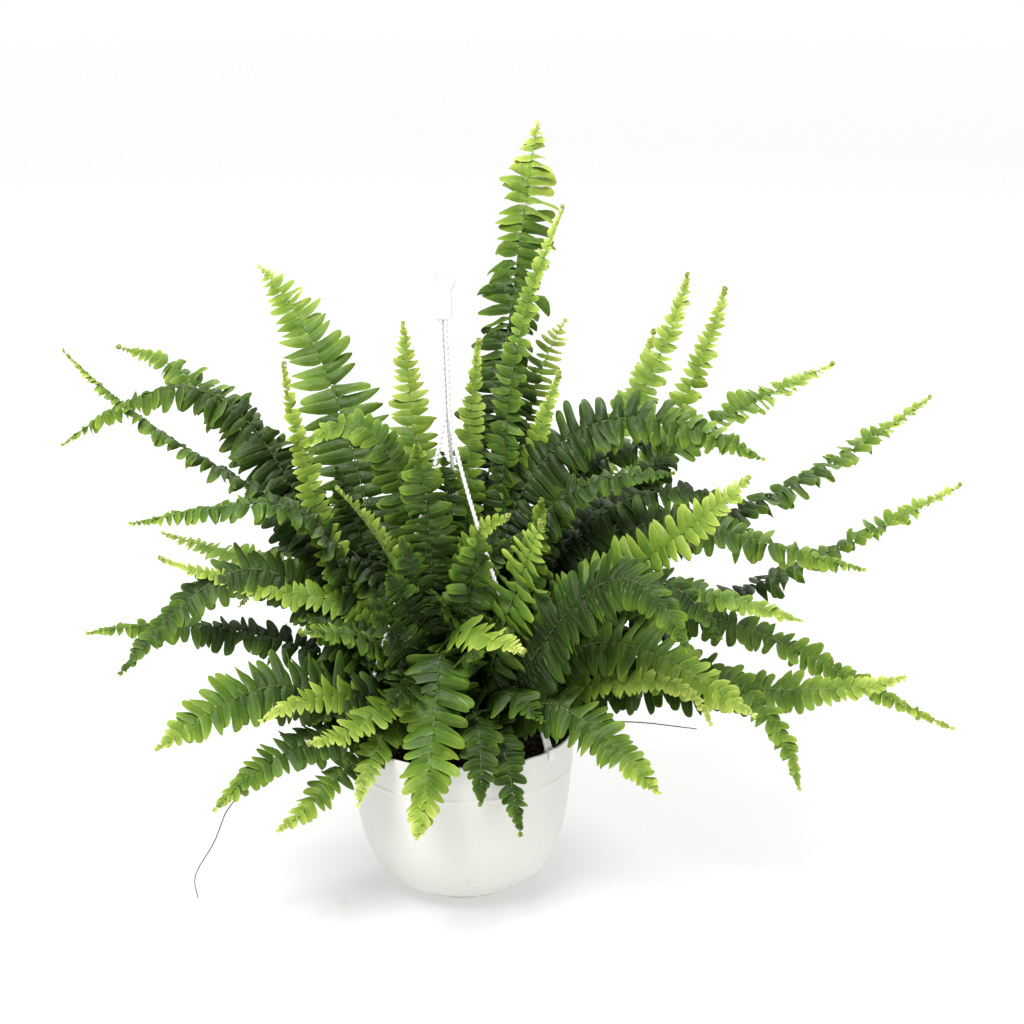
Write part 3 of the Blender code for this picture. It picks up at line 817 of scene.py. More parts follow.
HABITS = {
    "frond_centre_tall": Habit(40, 0.85, 0, 0.68, 0.28, 0.15, 0.70, 0.22, 1.05),
    "frond_centre_2": Habit(21, 0.3, 28, 0.30, 0.20, 0.30, 0.52),
    "frond_centre_3": Habit(29, 0.8, 0, 0.30, 0.10, 0.30, 0.60, 0.36, 0.6),
    "frond_centre_4": Habit(20, 0.6, 10, 0.30, 0.10, 0.40, 0.36),
    "frond_centre_5": Habit(30, 0.8, 5, 0.20, 0.05, 0.40, 0.40),
    "frond_centre_6": Habit(32, 0.6, 5, 0.40, 0.20, 0.24, 0.20),
    "frond_left_1": Habit(47, 0.9, 3, 0.25, 0.05, 0.30, 0.46, 0.52, 0.92),
    "frond_left_2": Habit(20, 0.5, 20, 0.25, 0.10, 0.48, 0.30),
    "frond_left_3": Habit(27, -0.12, 8, 0.65, 0.20, 0.16, 0.56, 0.6),
    "frond_left_4": Habit(40, 0.45, 10, 0.60, 0.20, 0.17, 0.56, 0.70),
    "frond_left_5": Habit(36, 0.4, 5, 0.65, 0.20, 0.17, 0.50, 0.58),
    "frond_left_6": Habit(25, 0.3, 5, 0.55, 0.20, 0.20, 0.46, 0.5),
    "frond_left_7": Habit(24, 0.4, 5, 0.30, 0.20, 0.42, 0.40),
    "frond_left_8": Habit(31, 0.5, 5, 0.30, 0.10, 0.24, 0.14),
    "frond_left_9": Habit(26, 0.4, 5, 0.60, 0.20, 0.20, 0.46),
    "frond_left_10": Habit(37, 0.65, 5, 0.35, 0.10, 0.26, 0.50),
    "frond_left_11": Habit(25, 0.5, 5, 0.40, 0.10, 0.26, 0.44),
    "frond_left_12": Habit(22, 0.5, 5, 0.35, 0.10, 0.38, 0.40),
    "frond_left_13": Habit(22, 0.5, 5, 0.30, 0.10, 0.48, 0.34),
    "frond_left_14": Habit(34, 0.6, 5, 0.60, 0.20, 0.14, 0.14),
    "frond_front_1": Habit(20, 0.6, 5, 0.30, 0.10, 0.44, 0.40),
    "frond_front_2": Habit(33, 0.7, 0, 0.34, 0.10, 0.34, 0.50, 0.45, 1.1),
    "frond_front_3": Habit(24, 0.5, 5, 0.35, 0.10, 0.24, 0.14),
    "frond_front_4": Habit(20, 0.5, 5, 0.35, 0.10, 0.22, 0.18),
    "frond_front_5": Habit(30, 0.3, 15, 0.25, 0.10, 0.42, 0.50),
    "frond_front_6": Habit(36, 0.6, 12, 0.50, 0.10, 0.38, 0.36, 0.45, 0.72),
    "frond_front_7": Habit(20, 0.4, 45, 0.20, 0.10, 0.58, 0.20),
    "frond_right_1": Habit(30, 0.6, 5, 0.30, 0.10, 0.30, 0.40),
    "frond_right_2": Habit(38, 0.7, 5, 0.35, 0.10, 0.33, 0.52),
    "frond_right_3": Habit(36, 0.6, 5, 0.40, 0.15, 0.22, 0.20),
    "frond_right_4": Habit(26, 0.5, 5, 0.35, 0.10, 0.28, 0.40),
    "frond_right_5": Habit(28, 0.6, 5, 0.35, 0.10, 0.32, 0.50),
    "frond_right_6": Habit(22, 0.5, 5, 0.35, 0.10, 0.32, 0.46),
    "frond_right_7": Habit(24, 0.4, 5, 0.40, 0.20, 0.30, 0.44),
    "frond_right_8": Habit(28, 0.1, 30, 0.65, 0.20, 0.22, 0.62, 0.42),
    "frond_right_9": Habit(27, 0.1, 30, 0.65, 0.20, 0.20, 0.62, 0.42),
    "frond_right_10": Habit(33, 0.5, 5, 0.50, 0.20, 0.22, 0.46),
    "frond_right_11": Habit(30, 0.2, 25, 0.55, 0.20, 0.24, 0.60, 0.45),
    "frond_right_12": Habit(38, 0.6, 8, 0.55, 0.18, 0.16, 0.46),
    "frond_right_13": Habit(25, 0.6, 22, 0.35, 0.10, 0.48, 0.34, 0.45),
    "frond_right_14": Habit(24, 0.5, 25, 0.40, 0.10, 0.46, 0.34, 0.45),
    "frond_right_15": Habit(25, 0.6, 22, 0.35, 0.10, 0.48, 0.34, 0.45),
    "frond_right_16": Habit(37, 0.6, 15, 0.30, 0.05, 0.42, 0.40),
    "frond_right_17": Habit(36, 0.5, 5, 0.45, 0.20, 0.12, 0.10),
    "frond_right_18": Habit(32, 0.5, 5, 0.45, 0.20, 0.18, 0.12),
    "frond_back_1": Habit(32, 0.1, 5, 0.40, 0.20, 0.18, 0.20),
    "frond_back_2": Habit(32, 0.0, 5, 0.40, 0.20, 0.24, 0.34),
    "frond_back_3": Habit(32, 0.0, 5, 0.40, 0.20, 0.24, 0.36),
    "frond_back_4": Habit(32, 0.0, 5, 0.40, 0.20, 0.18, 0.24),
    "frond_back_5": Habit(32, 0.0, 5, 0.40, 0.20, 0.24, 0.40),
    "frond_back_6": Habit(32, 0.0, 5, 0.40, 0.20, 0.26, 0.40),
}

# Smaller fronds between the main ones: where each one goes, and its habit.
Extra = namedtuple("Extra", "name azimuth reach height rise fall spring bow slot habit")
EXTRAS = [
    Extra("left_high", 195, 243, 306, 65, 25, 0.7, 0.0, "leaf_young",
          Habit(18, 0.5, 10, 0.2, 0.1, 0.52, 0.30)),
    Extra("left_near_1", 225, 168, 262, 60, 10, 0.5, 0.0, "leaf_mature",
          Habit(22, 0.4, 10, 0.4, 0.1, 0.26, 0.30)),
    Extra("left_near_2", 232, 181, 178, 50, 10, 0.7, 0.0, "leaf_young",
          Habit(20, 0.4, 10, 0.2, 0.1, 0.50, 0.34)),
    Extra("front_high_1", 335, 83, 350, 55, 75, 0.5, 0.1, "leaf_mature",
          Habit(26, 0.6, 10, 0.3, 0.1, 0.30, 0.26)),
    Extra("front_high_2", 325, 63, 333, 90, 25, 0.5, 0.0, "leaf_young",
          Habit(22, 0.6, 10, 0.2, 0.1, 0.46, 0.26)),
    Extra("right_low", 325, 249, 193, 40, -80, 0.3, 0.0, "leaf_young",
          Habit(18, 0.5, 5, 0.2, 0.1, 0.46, 0.40)),
    Extra("inner_left", 178, 124, 374, 90, -45, 0.5, 0.0, "leaf_mature",
          Habit(30, 0.6, 5, 0.3, 0.1, 0.26, 0.40)),
    Extra("centre_heart", 150, 8, 376, 85, 80, 0.4, 0.0, "leaf_dark",
          Habit(26, 0.8, 5, 0.6, 0.1, 0.18, 0.14, 0.4)),
    Extra("centre_front", 242, 56, 399, 80, 70, 0.4, 0.0, "leaf_mature",
          Habit(30, 0.8, 5, 0.6, 0.1, 0.20, 0.34, 0.4)),
    Extra("front_high_3", 290, 75, 335, 80, 60, 0.4, 0.0, "leaf_mature",
          Habit(26, 0.8, 5, 0.6, 0.1, 0.20, 0.34, 0.4)),
    Extra("front_left_1", 240, 77, 325, 80, 60, 0.4, 0.0, "leaf_mature",
          Habit(26, 0.8, 5, 0.6, 0.1, 0.18, 0.20, 0.4)),
    Extra("front_left_2", 238, 93, 300, 75, 50, 0.4, 0.0, "leaf_dark",
          Habit(26, 0.7, 5, 0.6, 0.1, 0.18, 0.14, 0.4)),
    Extra("front_left_3", 236, 110, 270, 70, 40, 0.4, 0.0, "leaf_mature",
          Habit(26, 0.7, 5, 0.6, 0.1, 0.18, 0.14, 0.4)),
    Extra("right_high_1", 15, 230, 372, 75, -5, 0.5, 0.0, "leaf_mature",
          Habit(30, 0.4, 5, 0.6, 0.15, 0.20, 0.20)),
    Extra("right_high_2", 350, 185, 366, 75, 0, 0.5, 0.0, "leaf_mature",
          Habit(30, 0.4, 5, 0.6, 0.15, 0.18, 0.20)),
    Extra("right_high_3", 5, 245, 325, 65, -20, 0.5, 0.0, "leaf_dark",
          Habit(32, 0.4, 5, 0.6, 0.15, 0.16, 0.14)),
    Extra("right_high_4", 12, 260, 290, 60, -25, 0.5, 0.0, "leaf_mature",
          Habit(30, 0.4, 5, 0.6, 0.15, 0.20, 0.16)),
    Extra("centre_back", 20, 96, 437, 90, 70, 0.3, 0.0, "leaf_young",
          Habit(22, 0.6, 10, 0.2, 0.1, 0.44, 0.30)),
]

# Short fronds that fill the heart of the plant, set round it in a spiral, and longer ones along its back.
FILL_COUNT = 26
FILL_TURN = 137.5
BACK_COUNT = 15
# The three tiers of the back: reach, height, angle at the tip, place on the crown, slot and freshness.
BACK_TIERS = [
    (150, 270, 15, 20, "leaf_mature", 0.26),
    (215, 235, -25, 30, "leaf_mature", 0.30),
    (270, 150, -55, 42, "leaf_young", 0.36),
]

# pitch is how far apart the leaflets stand at most, in millimetres. overlap is how wide each one is against
# its pitch, and blunt is how many of them have blunt tips.
Crowding = namedtuple("Crowding", "pitch overlap blunt")
CROWDING = {
    "leaf_mature": Crowding(7.7, 1.30, 0.8),
    "leaf_dark": Crowding(7.7, 1.30, 0.8),
    "leaf_young": Crowding(11.4, 1.20, 0.25),
}
FACE_FRONT = Vector((0, -1, 0.25))
LEAFLET_START = 0.10
STALK_RADIUS = 0.95 * MM
TIP_RADIUS = 0.35 * MM
PACE = 2.0 * MM
# How many points of a line its curled tip takes the place of.
TIP_CUT = 3
# Leaflets that still stand up in a V as steep as this belong to a frond whose tip is still coiled.
COILED_LIFT = 10


def leaflet_length(share, narrowing):
    """A leaflet's length along the frond, as a share of the longest."""
    along = (share - LEAFLET_START) / (1 - LEAFLET_START)
    base = 0.55 + 0.45 * min(1.0, along / 0.18)
    taper = (1 + 0.69 * narrowing) * max(0.0, 1 - along) ** narrowing
    # The length levels off smoothly towards the longest.
    return base * (taper if taper < 0.85 else 1 - 0.15 * 2.718 ** ((0.85 - taper) / 0.15))


def curled_tip(line, above, tight, steps):
    """The line with its end bent over, or rolled up into a small coil where it has many steps."""
    ahead = (line[-1] - line[-2]).normalized()
    normal = (above - ahead * above.dot(ahead)).normalized()
    step = 0.85 * MM
    for i in range(steps):
        turn = radians(tight * min(1.0, 0.35 + i / 6))
        ahead, normal = ahead * cos(turn) + normal * sin(turn), normal * cos(turn) - ahead * sin(turn)
        line.append(line[-1] + ahead * step)
        step *= 0.95
    return line


def frond_frames(line, show):
    """At each point of a line: the point, and the ways ahead, to the side and out of the blade's face."""
    flat = Vector((line[-1].x - line[0].x, line[-1].y - line[0].y, 0))
    side_first = Vector((-flat.y, flat.x, 0)).normalized()
    frames = []
    for i, point in enumerate(line):
        ahead = way_along(line, i)
        side = (side_first - ahead * side_first.dot(ahead)).normalized()
        front = (FACE_FRONT - ahead * FACE_FRONT.dot(ahead)).normalized()
        above = ahead.cross(side) * (1 - abs(show)) + front * show
        above = (above - ahead * above.dot(ahead)).normalized()
        frames.append((point, ahead, above.cross(ahead), above))
    return frames


class Leaflets:
    """The leaflets of one frond: where each one stands, its turn, its size, its form and its colour."""

    def __init__(self, habit, slot, draw):
        self.habit = habit
        self.draw = draw
        self.crowding = CROWDING[slot]
        self.phase = draw.uniform(0, 6.3)
        self.frond_hue = draw.uniform(0, 1)
        self.places = []
        self.ups, self.alongs, self.sizes, self.kinds, self.freshes, self.hues = [], [], [], [], [], []

    def freshness(self, share):
        """How fresh the green is at a share of the frond's length, lower near its foot for older tissue and
        for painted shade.
        """
        # Darker near the frond's foot: partly older tissue, partly painted shade of the plant's heart.
        older_and_shaded = 0.13 * max(0.0, 1 - share / 0.6)
        newer = self.habit.new * max(0.0, (share - 0.35) / 0.65) ** 2.0
        return self.habit.fresh - 0.05 - older_and_shaded + newer

    def add(self, frame_here, hand, long, wide, share, forward):
        """One leaflet left (1) or right (-1) of the stalk, swung `forward` degrees to the frond's tip."""
        point, ahead, side, above = frame_here
        habit, draw = self.habit, self.draw
        swing = radians(forward + draw.uniform(-7, 7))
        roll = (5 + 10 * habit.curl) * sin(self.phase + 9 * share)
        lift = radians(habit.lift + roll + draw.uniform(-9, 9))
        along = (side * hand * cos(swing) + ahead * sin(swing)) * cos(lift) + above * sin(lift)
        sink = 0.6 * (0.10 + 0.35 * habit.curl)
        along = (along + (along * along.z - UP) * sink).normalized()
        up = (above - along * above.dot(along)).normalized()
        sky = (UP - along * along.z).normalized()
        up = (up * (1 - habit.level) + sky * habit.level).normalized()
        kind = min(len(FORMS) - 1, max(0, round(habit.curl * 4.6 + draw.uniform(-1.5, 1.5))))
        outline = 0 if draw.random() < self.crowding.blunt else len(FORMS)
        # On the side where the frame turns the other way, the mirrored leaflet is used.
        mirrored = up.cross(along).dot(ahead) <= 0
        tip_glow = 0.16 if share == 1.0 else 0.0
        fresh = self.freshness(share) + tip_glow + draw.uniform(-0.07, 0.07)
        self.places.append(point + above * 0.3 * MM - along * min(1.0 * MM, 0.12 * long))
        self.ups.append(tuple(up))
        self.alongs.append(tuple(along))
        self.sizes.append((long, wide / (2 * HALF_WIDTH), long))
        self.kinds.append(2 * (outline + kind) + mirrored)
        self.freshes.append(min(1.0, max(0.0, fresh)))
        self.hues.append(min(1.0, max(0.0, self.frond_hue * 0.6 + draw.uniform(0, 0.4))))

    def add_rows(self, frames, length):
        """Both rows of leaflets, one row a little ahead of the other."""
        habit, draw = self.habit, self.draw
        for hand, lead in ((1, 0), (-1, 3 * MM)):
            at = LEAFLET_START * length + lead
            while at < length - 0.5 * MM:
                share = at / length
                # Near the tip a leaflet is never longer than the room that is left lets it be.
                room = 3 * MM + 0.5 * (length - at)
                long = habit.long * MM * leaflet_length(share, habit.taper) * draw.uniform(0.84, 1.10)
                long = min(max(4.2 * MM, long), room)
                pitch = min(self.crowding.pitch * MM, 2.9 * MM + 0.24 * long)
                here = frames[min(len(frames) - 1, round(at / PACE))]
                wide = pitch * self.crowding.overlap * habit.wide
                self.add(here, hand, long, wide, share, 8 + 26 * share**5)
                at += pitch * draw.uniform(0.94, 1.06)

    def points(self):
        attributes = {
            "up": ("FLOAT_VECTOR", self.ups),
            "along": ("FLOAT_VECTOR", self.alongs),
            "size": ("FLOAT_VECTOR", self.sizes),
            "form": ("INT", self.kinds),
            "fresh": ("FLOAT", self.freshes),
            "hue": ("FLOAT", self.hues),
        }
        return points_object("leaflet_points", self.places, [], attributes)


def make_frond(name, centres, habit, slot, number, *nodes):
    """A frond along its centre line: a tapered stalk with two rows of leaflets, and a curled tip."""
    draw = Random(1000 + number)
    line = even_points(smooth_path(centres, 8), PACE)[:-TIP_CUT]
    count = len(line)
    frames = frond_frames(line, habit.show)
    leaflets = Leaflets(habit, slot, draw)
    leaflets.add_rows(frames, PACE * (count - 1))
    coiled = habit.lift >= COILED_LIFT
    _, _, side, above = frames[-1]
    line = curled_tip(line, above, draw.uniform(24, 31) if coiled else 12, 13 if coiled else 5)
    for i in range(count + 1, len(line) - 1, 2):
        ahead = way_along(line, i)
        here = (line[i], ahead, side, ahead.cross(side).normalized())
        for hand in (1, -1):
            leaflets.add(here, hand, 3.0 * MM, 2.8 * MM, 1.0, 30)
    shares = [min(1.0, i / count) for i in range(len(line))]
    radii = [STALK_RADIUS + (TIP_RADIUS - STALK_RADIUS) * share**0.8 for share in shares]
    stalk_fresh = [min(1.0, leaflets.freshness(share)) for share in shares]
    stalk = line_object("stalk_line", line, {"radius": ("FLOAT", radii), "fresh": ("FLOAT", stalk_fresh)})
    points = leaflets.points()
    values = {
        "Leaflet Forms": forms,
        "Leaflet Points": points,
        "Twist": radians(9 + 38 * habit.curl),
        "Lift": radians(4 + 6 * habit.curl),
        "Swing": radians(3 + 5 * habit.curl),
        "Size Change": 0.05,
        "Stalk Sides": 7,
        "Seed": number,
        "Leaf Finish": finishes[slot],
        "Stalk Finish": finishes["stalk"],
    }
    baked_piece(name, stalk, trees["frond"], values, slot, *nodes)
    discard(points, stalk)


def make_main_fronds():
    for number, (node, habit) in enumerate(HABITS.items()):
        make_frond("leaf_" + node, rings_of(node), habit, SLOTS[node], number, node)
    for number, extra in enumerate(EXTRAS, len(HABITS)):
        line = bent_line(*extra[1:8], 20 * MM)
        make_frond("leaf_inner_" + extra.name, line, extra.habit, extra.slot, number)


def make_back_fronds():
    draw = Random(52)
    for count in range(BACK_COUNT):
        reach, height, fall, foot, slot, fresh = BACK_TIERS[count % 3]
        azimuth = 38 + 104 * (count + 0.5) / BACK_COUNT + draw.uniform(-5, 5)
        reach += draw.uniform(-18, 18)
        height += draw.uniform(-25, 25)
        habit = Habit(draw.uniform(26, 34), 0.0, 5, 0.35, 0.15, fresh, 0.34)
        line = bent_line(azimuth, reach, height, 70, fall, 0.55, 0, foot * MM)
        make_frond(f"leaf_outer_back_{count + 1}", line, habit, slot, 300 + count)


def make_filling_fronds():
    draw = Random(31)
    for count in range(FILL_COUNT):
        azimuth = (FILL_TURN * count + 20) % 360
        share = (count + 0.5) / FILL_COUNT
        height = 330 - 150 * share + draw.uniform(-15, 15)
        reach = 60 + 90 * share + draw.uniform(-10, 10)
        # Every other heart frond takes the dark finish, and all take low freshness: painted shade for the
        # heart of the plant.
        slot, fresh = (("leaf_dark", 0.12), ("leaf_mature", 0.20))[count % 2]
        habit = Habit(draw.uniform(24, 32), 0.4, 5, 0.45, 0.15, fresh, 0.12)
        line = bent_line(azimuth, reach, height, 75, 40 - 70 * share, 0.5, 0, 10 * MM + 26 * MM * share)
        make_frond(f"leaf_inner_fill_{count + 1}", line, habit, slot, 200 + count)


# ---------------------------------------------------------------- pot

WALL = 1.9 * MM
POT_SIDES = 160
WALL_ROWS = 96
LIP = 1.2 * MM
RIDGE_Z = 109 * MM
STEPS_Z = (15 * MM, 20 * MM, 26 * MM)
STEP_Z = 10 * MM
STEP_RADIUS = 62 * MM
FOOT_TOP_Z = 8 * MM
FOOT_RADIUS = 46 * MM
FOOT_NOTCH = 3 * MM
FOOT_NOTCHES = 10
FLOOR = 2.2 * MM
DRAIN_HOLES = 6
DRAIN_RING = 28 * MM
DRAIN_RADIUS = 4 * MM


def make_plastic_finish(name, colour, roughness, speck_share):
    """Moulded plastic: faint flow marks, fine grain, a few dark specks of soil and light handling scuffs."""
    made, tree, shader = finish(name, 0.45)
    cloud = grain(tree, 14.0, 4.0)
    tone = ramp(tree, cloud, [(0.3, tuple(c * 0.955 for c in colour)), (0.7, colour)])
    spots = span_of(tree, grain(tree, 260.0, 1.0, 0.4), 0.735, 0.765)
    patches = span_of(tree, grain(tree, 9.0, 2.0), 0.50, 0.62)
    specks = times(tree, times(tree, spots, patches), speck_share)
    rough = plus(tree, times(tree, cloud, 0.18), roughness - 0.09)
    height = plus(tree, times(tree, cloud, 1.6), times(tree, grain(tree, 700.0, 2.0), 0.25))
    surface(tree, shader, mixed(tree, specks, tone, (0.16, 0.12, 0.08, 1)), rough, height, 0.25, 0.3 * MM)
    return made


def wall_radius(z):
    """The outer radius of the pot's wall at a height above the table."""
    depth = 1 - z / RIM_Z
    return RIM_RADIUS - 10 * MM * depth - 30 * MM * depth**4.8


def outer_radius(z):
    """The wall with its ring below the rim and the faint moulded steps near its foot."""
    radius = wall_radius(z) + 0.8 * MM * min(1.0, max(0.0, 1.15 - abs(z - RIDGE_Z) / (1.3 * MM)))
    for step in STEPS_Z:
        radius -= 0.45 * MM * min(1.0, max(0.0, (step - z) / (0.8 * MM)))
    return radius


def notched_foot(angle):
    """The foot's outer edge, with its small drain notches."""
    away = abs((angle * FOOT_NOTCHES / (2 * pi) + 0.5) % 1 - 0.5) * 360 / FOOT_NOTCHES
    return FOOT_RADIUS - FOOT_NOTCH * max(0.0, 1 - (away / 4.5) ** 2)


def pot_rows():
    """The pot's section as (radius, z): out under the foot, up the wall, over the lip and down inside."""
    top = RIM_Z - 2 * LIP
    heel = FOOT_RADIUS - FOOT_NOTCH - WALL
    rows = [(0, 0), (30 * MM, 0), (lambda angle: notched_foot(angle) - 0.5 * MM, 0)]
    rows += [(notched_foot, 0.5 * MM), (notched_foot, FOOT_TOP_Z - 0.6 * MM)]
    rows += [(FOOT_RADIUS + 0.8 * MM, FOOT_TOP_Z), (STEP_RADIUS - 1 * MM, STEP_Z - 0.4 * MM)]
    rows.append((STEP_RADIUS, STEP_Z))
    for i in range(1, WALL_ROWS + 1):
        z = STEP_Z + (top - STEP_Z) * i / WALL_ROWS
        rows.append((outer_radius(z), z))
    for i in range(9):
        turn = pi * i / 8
        rows.append((RIM_RADIUS - LIP + LIP * cos(turn), RIM_Z - LIP + LIP * sin(turn)))
    for i in range(1, 40):
        z = top - (RIM_Z - 18 * MM) * (i / 40)
        rows.append((wall_radius(z) - WALL, z))
    rows += [(STEP_RADIUS - 6 * MM, STEP_Z + WALL), (heel + 0.5 * MM, STEP_Z + WALL)]
    return rows + [(heel, STEP_Z + WALL - 0.5 * MM), (heel, FLOOR), (0, FLOOR)]


def make_pot():
    bm = bmesh.new()
    lathe(bm, pot_rows(), POT_SIDES)
    pot = new_piece("pot_shell", bm, finishes["pot_plastic"], "pot_plastic", "pot")
    drills = bmesh.new()
    for i in range(DRAIN_HOLES):
        place = Matrix.Translation(polar(DRAIN_RING, 360 * i / DRAIN_HOLES, 1 * MM))
        bmesh.ops.create_cone(
            drills,
            cap_ends=True,
            segments=28,
            radius1=DRAIN_RADIUS,
            radius2=DRAIN_RADIUS,
            depth=8 * MM,
            matrix=place,
        )
    cutter = object_of("drills", mesh_of("drills", drills))
    cut = pot.modifiers.new("drain_holes", "BOOLEAN")
    cut.operation = "DIFFERENCE"
    cut.object = cutter
    mesh = evaluated_mesh(pot)
    pot.modifiers.clear()
    pot.data = mesh
    discard(cutter)
    smooth_by_angle(mesh, 35)


# ---------------------------------------------------------------- soil and crown

SOIL_STOPS = [(0.30, (0.012, 0.007, 0.004)), (0.52, (0.038, 0.021, 0.013)), (0.75, (0.085, 0.050, 0.030))]
SOIL_EDGE = wall_radius(SOIL_Z) - WALL - 0.2 * MM
SOIL_RINGS = 45
# Heights of the rings of the root ball below the soil's face.
BALL_ROWS = (SOIL_Z - 8 * MM, 80 * MM, 50 * MM, 34 * MM, 22 * MM, 16 * MM)
CROWN_RINGS = 24


def make_soil_finish():
    made, tree, shader = finish("soil_crumb", 0.2)
    clods = grain(tree, 90.0, 6.0, 0.65)
    fibres = grain(tree, 520.0, 3.0)
    light = times(tree, span_of(tree, fibres, 0.66, 0.74), 0.6)
    colour = mixed(tree, light, ramp(tree, clods, SOIL_STOPS), (0.22, 0.15, 0.10, 1))
    rough = plus(tree, times(tree, clods, 0.2), 0.75)
    surface(tree, shader, colour, rough, plus(tree, clods, times(tree, fibres, 0.4)), 0.9, 1.2 * MM)
    return made


def make_chip_finish(name, dark, light, gloss=0.2, coarse=240.0, fine=700.0, rough=0.52, depth=0.3 * MM):
    """Bark, grit and dry brown stems: two tones in a fine rough grain."""
    made, tree, shader = finish(name, gloss)
    colour = ramp(tree, grain(tree, coarse, 4.0), [(0.3, dark), (0.7, light)])
    surface(tree, shader, colour, rough, grain(tree, fine, 2.0), 0.6, depth)
    return made


def chip_shapes(name, count, stretch, seed):
    """A few small rough lumps, one unit across."""
    draw = Random(seed)
    shapes = collection_of(name)
    for number in range(count):
        bm = bmesh.new()
        bmesh.ops.create_icosphere(bm, subdivisions=1, radius=0.5)
        for vert in bm.verts:
            vert.co = Vector(vert.co[i] * stretch[i] for i in range(3)) * draw.uniform(0.65, 1.2)
        label = f"{name}_{number}"
        shapes.objects.link(bpy.data.objects.new(label, mesh_of(label, bm)))
    return shapes


def strewn_piece(name, ground, shapes, material, slot, spacing, density, smallest, largest, tumble, seed):
    values = {
        "Shapes": shapes,
        "Finish": finishes[material],
        "Spacing": spacing * MM,
        "Density": density,
        "Smallest": smallest * MM,
        "Largest": largest * MM,
        "Tumble": tumble,
        "Seed": seed,
    }
    baked_piece(name, ground, trees["strewn"], values, slot, smooth=False)


def lumps_at(x, y, *layers):
    """Noise in millimetres at a place: the sum of layers of (how fine, how high)."""
    return sum(noise.noise(Vector((x, y, 0)) * fine) * high for fine, high in layers)


def soil_height(x, y):
    """The lumpy soil, a little lower where it meets the pot."""
    dip = 1.5 * MM * (hypot(x, y) / SOIL_EDGE) ** 14
    return SOIL_Z - 1.2 * MM + lumps_at(x, y, (60, 1.6), (190, 0.9), (480, 0.4)) * MM - dip


def make_soil():
    rows = [(SOIL_EDGE * k / SOIL_RINGS, soil_height) for k in range(1, SOIL_RINGS + 1)]
    rows += [(wall_radius(z) - WALL - 0.6 * MM, z) for z in BALL_ROWS]
    bm = bmesh.new()
    lathe(bm, [(0, soil_height(0, 0)), *rows, (0, BALL_ROWS[-1])], 180)
    new_piece("soil_bed", bm, finishes["soil"], "soil", "potting_soil")
    bm = bmesh.new()
    lathe(bm, [(0, SOIL_Z - 0.6 * MM), (SOIL_EDGE - 2 * MM, SOIL_Z - 0.6 * MM)], 48)
    for face in bm.faces:
        if face.normal.z < 0:
            face.normal_flip()
    ground = object_of("soil_face", mesh_of("soil_face", bm))
    crumbs = chip_shapes("crumb", 4, (1.0, 0.8, 0.7), 5)
    bark = chip_shapes("bark", 4, (1.6, 0.6, 0.3), 6)
    strewn_piece("soil_crumbs", ground, crumbs, "soil", "soil", 2.2, 160000.0, 1.6, 4.2, 2.5, 3)
    strewn_piece("soil_bark", ground, bark, "bark", "soil", 6, 16000.0, 3, 7, 0.7, 8)
    strewn_piece("soil_grit", ground, crumbs, "grit", "soil", 9, 8000.0, 0.9, 2.0, 2.5, 12)
    discard(ground)
    clear_shapes(crumbs)
    clear_shapes(bark)


def crown_height(x, y):
    share = min(1.0, hypot(x, y) / CROWN_RADIUS)
    lumps = lumps_at(x, y, (90, 1.2), (260, 0.7))
    return SOIL_Z + (6.6 * (1 - share * share) + lumps * (1 - share)) * MM


def make_crown():
    """The mound of old stalk feet, with papery brown scales standing over it."""
    rows = [(CROWN_RADIUS * k / CROWN_RINGS, crown_height) for k in range(1, CROWN_RINGS + 1)]
    bm = bmesh.new()
    lathe(bm, [(0, crown_height(0, 0)), *rows, (0, SOIL_Z - 2 * MM)], 90)
    bmesh.ops.translate(bm, verts=bm.verts, vec=(CROWN.x, CROWN.y, 0))
    crown = new_piece("crown_mound", bm, finishes["rhizome"], "rhizome", "rhizome_crown")
    scales = chip_shapes("scale", 3, (0.18, 0.14, 1.6), 9)
    strewn_piece("crown_scales", crown, scales, "scale", "rhizome", 2.6, 90000.0, 3, 8, 0.6, 4)
    clear_shapes(scales)


# ---------------------------------------------------------------- hanger

JUNCTION = Vector((-0.010, 0.0, 0.408))
HOOK_FOOT = Vector((-0.0128, 0.0, 0.486))
HOOK_RADIUS = 8 * MM
HOOK_WIRE = (2.6 * MM, 2.2 * MM)
HOOK_SIDES = 16
BLOCK_SIZE = (14 * MM, 8 * MM, 21 * MM)
RIB_SIZE = (11 * MM, 8.6 * MM, 1.2 * MM)
CLIP_AZIMUTHS = (-39, -159, 81)
CLIP_WIDTH = 7.8 * MM
CLIP_THICK = 1.5 * MM
CLIP_INSIDE = 9 * MM
CLIP_LIP = 8 * MM
STRAP_DEPTH = 0.8 * MM
STRAP_ROWS = 6


def polar(radius, degrees, z=0.0):
    return Vector((radius * cos(radians(degrees)), radius * sin(radians(degrees)), z))


def strand_path(azimuth):
    """One strand's centre line, from its clip at the rim up to the hook's foot."""
    outward = polar(1, azimuth)
    foot = outward * (RIM_RADIUS - 2.5 * MM) + (RIM_Z + 0.8 * MM) * UP
    split = JUNCTION + outward * 2.4 * MM
    top = HOOK_FOOT + outward * 2.4 * MM + 1 * MM * UP
    path = bezier(foot, foot.lerp(split, 0.35), split - 50 * MM * UP + outward * 6 * MM, split, 40)
    return path + [split.lerp(top, i / 10) for i in range(1, 11)]


def clip_outline():
    """The clip's side view as (outward, z) pairs round the pot's rim."""
    inner = wall_radius(RIM_Z - CLIP_INSIDE) - WALL - 0.5 * MM
    outer = RIM_RADIUS + 0.3 * MM
    over = RIM_Z + 0.2 * MM
    return [
        (inner - CLIP_THICK, over - CLIP_INSIDE),
        (inner, over - CLIP_INSIDE),
        (inner, over),
        (outer, over),
        (outer, over - CLIP_LIP),
        (outer + CLIP_THICK, over - CLIP_LIP),
        (outer + CLIP_THICK, over + CLIP_THICK),
        (inner - CLIP_THICK, over + CLIP_THICK),
    ]


